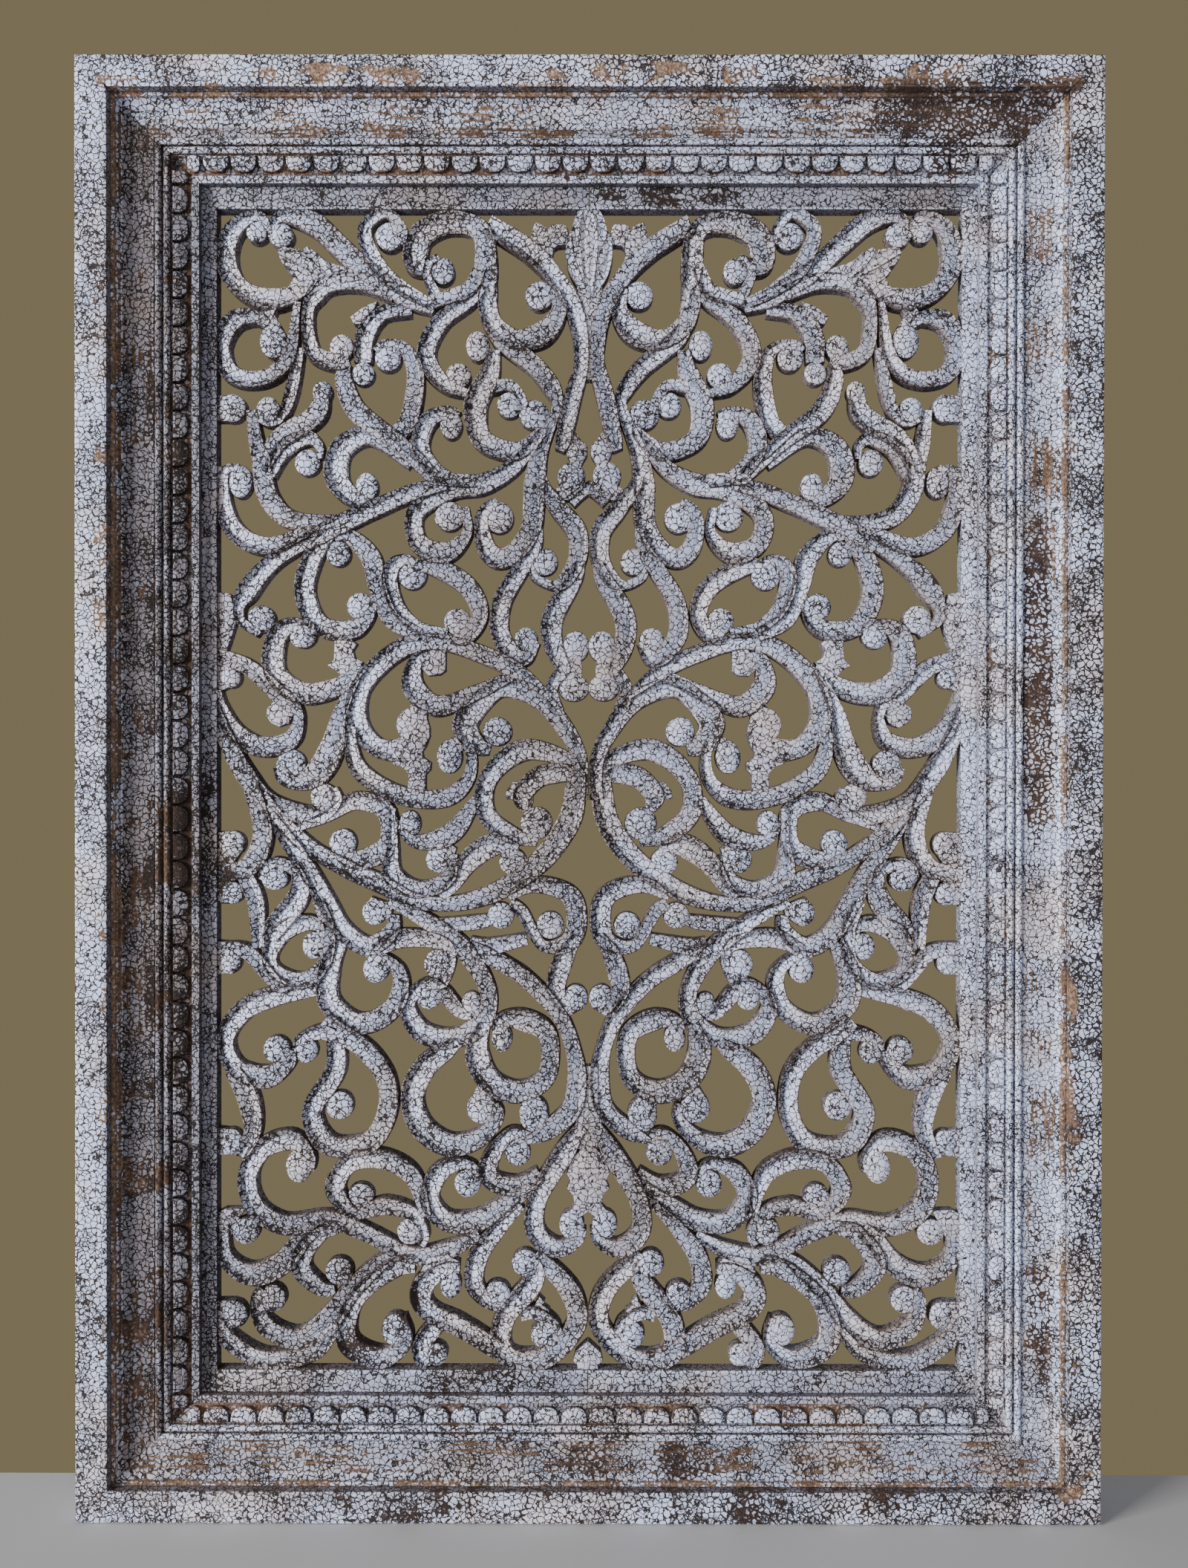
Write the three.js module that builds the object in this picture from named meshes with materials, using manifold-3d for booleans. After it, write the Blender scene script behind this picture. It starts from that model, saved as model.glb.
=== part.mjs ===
// Relief panel: a pierced and carved arabesque in a moulded wooden frame, made to hang on a wall.
// Millimetres, +Z up. The front faces -Y. The origin is on the back of the top board, at its middle.

import * as THREE from 'three';
import { mergeVertices } from 'three/addons/utils/BufferGeometryUtils.js';
import Module from 'manifold-3d';

// Overall size
const PANEL_WIDTH = 700;
const PANEL_HEIGHT = 1000;
const CLEARANCE = 0.3; // between any two pieces

// Outer boards, the flat band round the panel
const BAND_WIDTH = 22;
const BAND_DEPTH = 40; // from the wall to the face, the panel's whole depth
const ARRIS = 1.2; // worn front edges

// Moulding, from the band inwards; each drop is measured back from the band's face
const FILLET_WIDTH = 3;
const FILLET_DROP = 6.5;
const COVE_WIDTH = 12;
const COVE_DROP = 12.5;
const FLAT_WIDTH = 13;
const BEAD_WIDTH = 6;
const BEAD_RISE = 2.6;
const BEAD_COUNT = 2;
const SCALLOP_WIDTH = 11;
const SCALLOP_DROP = 11;
const SCALLOP_SLOPE = 2.2; // how far the scallops lean back towards the carving
const GROOVE_WIDTH = 2;
const GROOVE_DROP = 16.5;
const LIP_WIDTH = 5;
const LIP_DROP = 15;
const REBATE_WIDTH = 8; // how far the carved boards reach under the lip

// Scallops along the moulding
const SCALLOP_PITCH = 19.3;
const SCALLOP_NOTCH = 6.5; // width of the notch between two scallops, at its mouth
const SCALLOP_ROOT = 3.5; // solid width left behind a notch

// Carved boards
const BOARD_DROP = 21; // face of the carving, back from the band's face
const BOARD_THICKNESS = 10;
const BORDER_SIDE = 10.5; // flat border inside the moulding, at the sides
const BORDER_END = 15; // and at the top and bottom
const RIBBON_WIDTH = 14;

// Fineness of the round forms
const TURN_STEP = THREE.MathUtils.degToRad(34); // largest bend at one station of a ribbon
const KNOB_SIDES = 7;
const LEAST_CORNER = 38; // area that an outline's corner must cut off to be kept
const SPINE = 4; // strip behind the seam that closes the holes which the seam cuts in half
const LEAST_PIERCING = 30; // smallest hole that is cut, in square millimetres
const COVE_STEPS = 3;
const BEAD_STEPS = 4;

// Sizes that follow
const MOULDING_WIDTH = FILLET_WIDTH + COVE_WIDTH + FLAT_WIDTH + BEAD_COUNT * BEAD_WIDTH + SCALLOP_WIDTH
  + GROOVE_WIDTH + LIP_WIDTH;
const FRAME_WIDTH = BAND_WIDTH + MOULDING_WIDTH;
const OPENING_HALF_WIDTH = PANEL_WIDTH / 2 - FRAME_WIDTH - BORDER_SIDE;
const OPENING_HALF_HEIGHT = PANEL_HEIGHT / 2 - FRAME_WIDTH - BORDER_END;
const BOARD_HALF_WIDTH = PANEL_WIDTH / 2 - FRAME_WIDTH + REBATE_WIDTH - CLEARANCE;
const BOARD_HALF_HEIGHT = PANEL_HEIGHT / 2 - FRAME_WIDTH + REBATE_WIDTH - CLEARANCE;
const BOARD_FACE = BAND_DEPTH - BOARD_DROP;

// The arabesque is drawn for the right half, measured from the panel's middle. Its places stretch with the
// opening, and its widths with the opening and RIBBON_WIDTH.
const DRAWN_RIBBON_WIDTH = 14;
const DRAWN_LAP = 3; // how far the outermost drawn places reach into the border

// Ribbons: a name, then [across, up, width] at each place where the curve needs one.
const RIBBONS = [
  ["finial_stem", 1, [71, 396, 14], [41, 376.5, 14.5], [23.5, 358, 13], [10.5, 336.5, 13], [5.5, 300, 11],
    [11.5, 275, 13], [18.5, 243, 11], [20.5, 238, 7]],
  ["top_inner_curl", -1, [24, 350, 6], [21.5, 334, 12], [33, 319.5, 17], [51, 315.5, 14.5], [67, 326, 14],
    [71.5, 345, 13.5], [70, 355, 9]],
  ["top_ring", 1, [67, 338, 5], [67.5, 350, 7], [71, 360, 15], [74, 388, 14.5], [80, 394.5, 14.5],
    [99, 397, 16.5], [118, 387, 18], [121, 369, 17], [112, 361, 6]],
  ["top_ring_foot", -1, [75.5, 366, 9], [84, 350, 11], [110, 341, 10]],
  ["top_hook", 1, [74, 350, 5], [83, 342, 9], [103.5, 328, 13], [113.5, 308, 13.5], [112, 297.5, 13.5],
    [99, 282.5, 10], [84, 277, 6]],
  ["top_ring_rim", -1, [107, 345, 9], [113.5, 361, 6], [111, 368.5, 6], [105, 372, 5]],
  ["inner_stem", -1, [66, 322, 12], [60, 314.5, 14], [36, 295, 13.5], [24.5, 279, 12], [22.5, 270, 8],
    [34.5, 237, 12.5], [38, 216, 15.5], [40.5, 183, 15], [54.5, 165, 14.5], [64, 163, 15],
    [71.5, 169.5, 14], [75, 190, 10], [71, 198, 8], [64, 202, 6]],
  ["inner_sweep", 1, [35, 183, 6], [37, 172, 9], [49.5, 152, 12.5], [61, 131.5, 14], [62, 110, 14],
    [52, 94.5, 13], [45, 92.5, 12], [35.5, 104, 5]],
  ["cup_curl", 1, [65.5, 308, 8], [70, 290, 15.5], [79, 270, 17], [77, 249.5, 15], [70, 242, 14.5],
    [50, 237.5, 13.5], [35, 249, 9], [32, 256, 5]],
  ["cup_arch", 1, [70, 281, 9], [55, 282.5, 8.5], [45.5, 270, 6], [47, 263, 4]],
  ["snail", 1, [33, 250, 7], [54, 225.5, 12], [73, 215, 15], [96, 211.5, 16], [121.5, 193, 13.5],
    [118.5, 173, 14.5], [100, 166.5, 15], [85, 180, 8], [86.5, 198, 6]],
  ["snail_fork", -1, [84, 216.5, 10], [105, 217.5, 9], [113, 216, 8]],
  ["eye_curl", 1, [90.5, 262, 6], [96, 264.5, 8], [112, 259, 13], [118, 240.5, 13], [107.5, 223.5, 12],
    [99, 219, 10]],
  ["eye_stem", -1, [149, 307, 5], [144, 312, 5], [129, 309, 9], [121.5, 292, 13], [126.5, 258, 13.5],
    [133, 250, 13]],
  ["cross_stem", -1, [170, 298, 8], [171.5, 288, 12.5], [162.5, 266, 15], [134, 243.5, 12.5],
    [104, 215, 10]],
  ["wave", 1, [124, 228, 8], [154, 248, 13], [173.5, 238.5, 16.5], [176, 217, 17], [163, 203.5, 12],
    [156, 202, 8]],
  ["long_branch", 1, [100, 214, 8], [119, 210, 12], [151, 197, 13], [181, 182, 14], [188, 176, 10]],
  ["side_branch", -1, [235.5, 266, 8], [232.5, 243, 11], [229, 231, 14], [225, 208, 15], [210, 190.5, 14],
    [178, 188, 10], [168, 192, 7]],
  ["side_hook", 1, [176, 186, 12], [187, 179.5, 14], [208, 168, 10.5], [226, 155.5, 13.5],
    [240.5, 137.5, 15], [244.5, 129, 9], [244, 120, 7.5], [230.5, 109, 5.5]],
  ["side_eye", 1, [187.5, 232, 4], [188.5, 241, 7], [195, 246.5, 10], [213, 239.5, 13.5], [224, 221, 11]],
  ["drop_branch", -1, [186, 281, 10], [190, 264, 14.5], [217, 244.5, 14.5], [227, 227, 11]],
  ["drop_rim", 1, [201.5, 309, 6], [208, 279, 9.5], [214, 262, 7], [218.5, 257.5, 4]],
  ["drop_cup", 1, [212, 264, 5], [217, 257.5, 5], [224, 256, 4], [230, 259, 4]],
  ["leaf_ring", 1, [136, 347, 12], [160, 355.5, 13], [183, 353.5, 13], [191.5, 346, 13.5], [196, 335.5, 9],
    [192, 306, 12], [175, 299, 12], [168, 300, 8]],
  ["high_sweep", -1, [223.5, 386, 4], [222, 393.5, 7], [215, 400.5, 9], [194, 397, 15], [175, 381, 15],
    [157, 364, 15], [127, 344.5, 14], [108, 337, 9]],
  ["high_hook", 1, [131, 381, 5], [130, 390, 7], [141, 403, 8], [156.5, 393, 10.5], [146.5, 364, 12.5],
    [129, 349.5, 10], [111, 340, 8]],
  ["thorn_stem", 1, [124, 336, 9], [145, 333, 12], [156.5, 318, 14.5], [158, 299, 13]],
  ["corner_lower", -1, [203, 341, 5], [212, 299, 11], [229, 287.5, 11.5], [250, 291.5, 13],
    [257.5, 311, 14], [247.5, 328.5, 14], [231, 330, 9], [225, 325, 6]],
  ["corner_link", 1, [222, 339, 10], [226, 331, 10]],
  ["corner_ring", -1, [191, 357, 5], [199, 350, 10], [220, 343, 15.5], [241, 349, 13.5], [253, 367, 15],
    [249.5, 390, 14], [233.5, 400.5, 9], [226.5, 397.5, 7], [224, 390, 5]],
  ["knee_outer", -1, [178, 178, 8], [170, 179, 10], [153, 163.5, 15], [147.5, 141, 13], [137.5, 119.5, 13],
    [118, 109, 10]],
  ["knee_inner", 1, [120, 159, 6], [128, 161.5, 8], [136, 158, 11], [139.5, 149, 12], [134, 128.5, 11],
    [119, 114.5, 9], [99, 110, 8]],
  ["knee_hook", 1, [180, 182, 10], [193, 163, 14.5], [199, 140.5, 15], [192, 120, 15],
    [183.5, 113.5, 14.5], [163.5, 113.5, 14], [151.5, 127, 7], [153, 135, 4]],
  ["rail_curl", -1, [196, 181, 8], [227, 171, 13.5], [247.5, 181.5, 14], [256, 203, 12], [253, 224, 7],
    [244, 225.5, 5]],
  ["heart_curl", -1, [34, 220, 8], [31.5, 212, 10], [20.5, 197, 13.5], [8.5, 181, 15], [8, 162, 13.5],
    [17.5, 146.5, 11], [25, 143.5, 7], [38, 150, 6], [41, 157, 4]],
  ["heart_tie", 1, [-3, 214, 9], [6, 208, 9], [13, 202, 10]],
  ["vase_side", 1, [6, 159, 8], [9.5, 149.5, 12], [25.5, 120.5, 15.5], [24.5, 101, 14], [17, 84, 9]],
  ["vase_foot", 1, [17, 86, 10], [26, 72.5, 9], [22.5, 56, 11]],
  ["great_arch", 1, [4.5, 5, 10], [6.5, 24, 11], [17, 44.5, 13], [33.5, 63.5, 14], [55, 72.5, 14.5],
    [66, 70.5, 14.5], [86.5, 46.5, 18.5], [77, 31, 13], [69, 28.5, 8]],
  ["great_hook", -1, [46, 81, 6], [55, 79.5, 8], [77, 69.5, 11], [108, 59.5, 15.5], [123, 74, 16],
    [120, 92, 10], [113, 96, 9]],
  ["great_branch", 1, [27, 66, 5], [50, 83.5, 12], [71, 94, 13], [106, 104.5, 12], [127, 101.5, 14],
    [147, 87.5, 14.5], [161, 68.5, 15], [161.5, 46.5, 15.5], [147.5, 30.5, 14.5], [127, 28, 17]],
  ["hip_curl", -1, [118, 158, 10], [110, 157.5, 13], [84, 142, 14.5], [76.5, 122.5, 12.5], [86, 107.5, 11],
    [95, 107, 10]],
  ["belly_band", -1, [85, 34, 8], [82, 26, 8], [84, 8.5, 10], [99, -4.5, 14], [132, -3, 13.5],
    [161, 15.5, 13], [166.5, 36, 9], [165, 45, 6]],
  ["blade", -1, [161, 82, 6], [174, 53, 11], [179, 31, 17], [191, 11, 18], [207, 4.5, 8], [215, 9, 7.5],
    [218.5, 17, 5]],
  ["side_claw", -1, [205, 60, 8], [202.5, 52, 7.5], [208, 36, 13], [228, 30.5, 15], [247.5, 41, 14],
    [258, 61, 9], [259, 70, 5]],
  ["side_ring", -1, [158, 86, 8], [176.5, 72, 14], [201.5, 68.5, 16.5], [219.5, 82.5, 16],
    [219, 105.5, 15.5], [212, 114, 13], [195, 115.5, 6], [191.5, 110, 4]],
  ["rail_branch", 0, [203, 62, 12], [212, 64, 13], [239, 87, 12], [260, 94, 12]],
  ["rail_sweep", -1, [261, 58, 8], [252.5, 34, 13], [239.5, 10.5, 14.5], [223.5, -7, 13], [190, -17, 14],
    [176, -6, 8], [178, 2, 5]],
  ["hall_ring", -1, [203, -26, 5], [183, -17.5, 9], [162, -7, 14], [142, -14, 14], [140.5, -35, 13],
    [146.5, -43.5, 16], [165, -48.5, 13], [174, -46, 9]],
  ["hall_hook", 1, [137, -12, 5], [137, -37, 8], [137, -59, 15], [118.5, -69, 13], [98.5, -61, 11],
    [94, -44, 6]],
  ["long_sweep", -1, [9, 4, 15], [12.5, -18.5, 16.5], [25.5, -40.5, 16.5], [45, -58.5, 15],
    [69.5, -72.5, 14], [96, -79, 11], [121, -77, 11.5], [144.5, -65.5, 14], [169.5, -54.5, 13],
    [193, -41, 12.5], [214, -23, 12], [229, -3, 9]],
  ["pear_side", 1, [226, -12, 6], [209.5, -36, 12], [195, -58, 13.5], [183.5, -78, 14], [172, -97.5, 14.5],
    [153.5, -109, 14], [137, -97, 11], [135.5, -87, 8]],
  ["waist_arch", 1, [8, 14, 8], [14, 21, 11], [42, 29, 15.5], [60.5, 20, 15], [72, 3.5, 13.5],
    [71, -17, 14], [54.5, -30.5, 13], [36, -36, 6]],
  ["waist_leaf", 1, [9, 10, 10], [17, 12.5, 14], [35, 9.5, 15], [47, -4, 13], [46, -11, 8]],
  ["waist_tail", 1, [49, -40, 6], [67, -38, 16.5], [84, -49.5, 15.5], [96, -67, 10], [104, -73.5, 8]],
  ["waist_hook", -1, [78, -6, 8], [98, -31, 15.5], [119.5, -35.5, 10.5], [128, -31.5, 6.5],
    [132.5, -24, 4]],
  ["lily_ring", -1, [56, -74, 6], [38, -65.5, 12], [16.5, -70.5, 14], [9.5, -79, 15], [9.5, -99.5, 15],
    [15.5, -107, 13], [32, -108, 8.5], [47.5, -83.5, 9.5], [55, -78.5, 9]],
  ["lily_blade", 0, [66, -88, 6], [73, -91, 10], [104, -94, 10]],
  ["lily_blade_low", 0, [43.5, -103.5, 9], [72, -109, 12.5], [83, -107.5, 12]],
  ["twin_spiral", -1, [140, -77, 6], [110, -93, 12.5], [84, -114.5, 14.5], [69.5, -144.5, 12.5],
    [75.5, -163.5, 15], [95.5, -173.5, 14.5], [117.5, -168, 15.5], [126.5, -148.5, 11.5],
    [113.5, -135.5, 10], [104.5, -135, 10], [95.8, -120, 6.5], [96.5, -111, 7]],
  ["twin_spur", -1, [108, -137, 12], [100.5, -142, 12], [89, -155.5, 9], [82, -158, 4]],
  ["twin_cap", 1, [96, -112, 7], [101, -107, 10], [130, -103, 14], [150, -112, 9]],
  ["tear_side", -1, [84, -108, 10], [64, -118.5, 12.5], [43.5, -131.5, 12.5], [19.5, -158.5, 12],
    [10.8, -180, 11.5], [7.8, -202, 14.5], [12, -223, 14.5], [28.5, -238, 13], [43, -245, 5]],
  ["tear_top", 1, [8, -101, 7], [18, -119, 14.5], [22.5, -139, 13.5], [14, -155, 8]],
  ["bell_side", 1, [6, -236, 9], [17.5, -254.5, 15], [35.5, -286.5, 14], [36.5, -309, 14],
    [22, -320.5, 13.5], [6.5, -314, 8], [3, -306, 4]],
  ["foot_heart", -1, [37, -325, 11.5], [12, -351, 15], [7.8, -372.5, 14.5], [30.5, -397.5, 15],
    [52.5, -398, 15], [60.5, -390.5, 16], [58, -369.5, 15], [39, -345.5, 15], [36, -337, 12],
    [38.5, -329.5, 9]],
  ["foot_curl", -1, [47, -366.5, 10], [38.5, -365, 9.5], [23.5, -373, 7], [20, -380, 5]],
  ["loop_ring", -1, [64.5, -168, 7], [61.5, -160.5, 9], [45.5, -160.5, 15.5], [29, -170, 14],
    [29.5, -200, 13.5], [48, -211, 16], [69, -203, 17], [78, -183, 17], [73, -163, 9]],
  ["mask_ring", 1, [92, -176, 8], [99, -181.5, 13], [115, -194.5, 17], [123.5, -215, 17],
    [116, -236.5, 17], [96.5, -248.5, 16.5], [75, -242.5, 13], [62.5, -226.5, 8], [64.5, -218.5, 5]],
  ["cradle", 1, [38, -243, 8], [54, -240, 8.5], [70.5, -264, 14], [67.5, -273, 14], [50, -277, 14],
    [34, -268, 10]],
  ["cradle_ring", 1, [79, -271, 4], [79, -264.5, 6], [86, -261, 7.5], [103.5, -267, 14],
    [111.5, -286, 14.5], [99, -301.5, 15], [77, -301, 15], [56.5, -289.5, 13.5], [40, -277, 8]],
  ["foot_hook", 1, [47, -290, 7], [63, -307, 11], [76.5, -325.5, 14.5], [79.5, -346.5, 14],
    [66.5, -360, 8.5], [59, -359, 6]],
  ["long_base", -1, [76, -311, 7], [97, -321.5, 12], [121, -326, 13], [155.5, -310, 12.5],
    [179, -301.5, 14], [215, -304, 15], [233.5, -291.5, 15], [238.5, -269.5, 14.5], [227.5, -250.5, 15],
    [207, -245, 14.5], [194, -257.5, 7.5], [194, -266, 5]],
  ["foot_wave", 1, [90, -334, 8], [99, -334, 9.5], [115.5, -346.5, 15.5], [117, -356.5, 15.5],
    [110.5, -365.5, 14.5], [90, -375.5, 15], [62, -392.5, 14]],
  ["foot_bud", 1, [106, -374, 13], [117.5, -389.5, 13], [117, -398, 11], [112, -403.5, 9]],
  ["base_hook", 1, [122, -331, 14], [133, -333, 14], [162.5, -355.5, 13.5], [170, -379, 15.5],
    [165.5, -390, 16], [143, -397.5, 14], [126.5, -384.5, 8], [129, -368, 4]],
  ["base_sweep", -1, [138, -325, 7], [147, -332, 11.5], [166, -350.5, 14], [183, -372, 16],
    [204.5, -384.5, 14.5], [226, -375, 14], [232.5, -355, 8], [229, -348, 5]],
  ["base_rail", -1, [177, -378, 7], [192, -393.5, 11.5], [228.5, -398.5, 13.5], [257, -380, 13],
    [262, -372, 14]],
  ["base_eye", 1, [176, -306, 10], [186, -308.5, 13], [200.5, -326, 15], [200.5, -336.5, 14.5],
    [185.5, -349.5, 11], [177.5, -349, 7]],
  ["base_swan", -1, [192, -307, 12], [200, -313.5, 14], [215, -332, 16], [237, -339.5, 16],
    [254.5, -327, 12], [257, -304, 12]],
  ["pear_ring", -1, [156, -114, 4], [147, -114.5, 6], [132, -127.5, 11], [134.5, -149, 14],
    [153, -162.5, 15], [164.5, -162, 15], [181.5, -147.5, 16], [182, -125.5, 15.5], [174, -106, 11]],
  ["harp_ring", 1, [186.5, -103, 4], [188, -95.5, 8], [196, -92.5, 12], [215.5, -99.5, 15],
    [223.5, -117.5, 11], [219.5, -126.5, 11], [200.5, -133, 12], [184.5, -120, 10], [182, -98, 10],
    [189, -77, 9]],
  ["harp_neck", 1, [203, -58, 9], [201.5, -68, 14], [205, -78, 16], [219, -95, 16], [223, -104, 12]],
  ["rail_bow", 1, [189, -138, 10], [199, -141, 9.5], [221, -144.5, 14.5], [242.5, -154.5, 15.5],
    [254.5, -174.5, 13], [247, -194, 14], [226, -201, 16.5], [209.5, -190, 10], [206.5, -182, 5]],
  ["rail_strap", 0, [260, -109.5, 9], [239.5, -112.5, 11], [219, -134.5, 10], [211, -139, 8]],
  ["rail_stem", 0, [240.5, -58, 12], [233, -77, 13], [231, -110, 9]],
  ["rail_elbow", -1, [236, 4, 12], [227.8, -31, 14.5], [235.5, -51, 15], [245, -56, 13], [262.5, -57, 15]],
  ["harp_eye", 1, [202, -66, 8], [204, -56.5, 9], [219.5, -50, 8], [226.5, -55, 6.5], [229, -62, 4]],
  ["drum", -1, [184, -160, 12], [175, -168, 14], [155.5, -182, 14], [142, -201.5, 14],
    [140.8, -225.5, 14.5], [152, -245.5, 15], [174.5, -250, 14.5], [185.5, -245, 15.5],
    [193.5, -225, 14.5], [177, -195, 15], [177, -173, 13]],
  ["drum_cap", 1, [178, -172, 10], [186, -169, 11], [202, -174, 7.5], [205, -181, 5]],
  ["rail_low", 0, [249, -196, 12], [238.5, -215.5, 16], [235, -238, 13], [244, -257, 9]],
  ["lyre_arch", 1, [113, -298, 8], [124.5, -268.5, 13], [145, -258, 14], [167, -261, 13.5],
    [177.5, -279, 14.5], [164.5, -295.5, 10], [142, -291, 12.5], [121.5, -297, 9.5], [114, -312, 6],
    [117, -318, 5]],
];

// Knobs at the ends of the scrolls: [across, up, half width, half height]
const KNOBS = [
  [34.8,346,10,10], [102.3,363,8.5,9.5], [91.5,290,9,9], [78,311,8.5,10.5], [55.5,269.5,9,9], [38.5,263,10.5,10.5],
  [63,191,10.5,11], [97.5,192,10.5,10.5], [96.5,256,8,10], [140.5,302.5,9.5,9.5], [158,291.5,8,8],
  [155.5,212.5,8,10], [173,310,8.5,9], [186.5,279,7,7.5], [224.5,265.5,8.5,9.5], [139.5,387,10,10],
  [215.5,388,9,8.5], [232,390.5,8,8], [221,314,9.5,12], [249.5,267.5,10,10], [197,229.5,9,9.5], [175.5,166,8.5,9],
  [244,216,8.5,11.5], [124,151.5,10.5,11], [229.5,120,10,10], [160,129,9.5,9.5], [12.5,220,10,10],
  [8.5,237,7.5,8], [31.5,160,9.8,9.5], [9.5,100,9,11], [11,69.5,9.5,9], [44,106,8.5,8.5], [64,41.5,10.5,10.5],
  [92,118.5,9.5,9.5], [97.5,24,9,12], [208.5,18.5,10.5,10.5], [200,108.5,9.5,9], [251,79,7.5,7.5],
  [185.5,-4,9.5,9.5], [172,-36.5,9.5,10], [104.5,-48,10,9.5], [36.5,-22.5,11.5,11.5], [53,-49.5,9.8,9.8],
  [125.5,-23,8,9.5], [27,-94,9.7,9.7], [61.5,-87,9.3,9.3], [149.5,-85,9,9.5], [9,-145,8.8,9.8],
  [105.5,-121.5,10,10.5], [82,-149.5,7.5,9], [111.5,-145,8.5,8], [60.5,-173,7.5,10], [38,-226.5,10.5,13],
  [75,-222,10.3,11], [49.5,-253.5,9.3,9.3], [84.5,-275,9.3,9.8], [11.5,-304,9,10.5], [44,-331,9.5,9.5],
  [30,-381,10,10], [63.5,-353,9.5,9.5], [96.5,-346.5,7.5,9.5], [106.5,-395,8.2,8.2], [134.5,-378,10.5,11.5],
  [221.5,-356,9.7,9.7], [247,-367.5,8.5,9.5], [174.5,-337,10,9.7], [240,-308.5,9.5,9.5], [149,-124.5,9.3,10],
  [192.5,-108.5,8,9.5], [218.5,-181.5,9.8,9.8], [198,-182,8.5,9], [251,-119.5,7.5,9], [249.5,-37,9,9],
  [250,-71.5,8.3,8.3], [219.5,-61.5,9.5,8.3], [174.5,-220.5,10.2,10.2], [250,-246,8.5,9.5],
  [203,-263,9,12], [159.5,-284,9.5,8.8], [125,-308.5,9.5,9.5],
];

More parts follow.
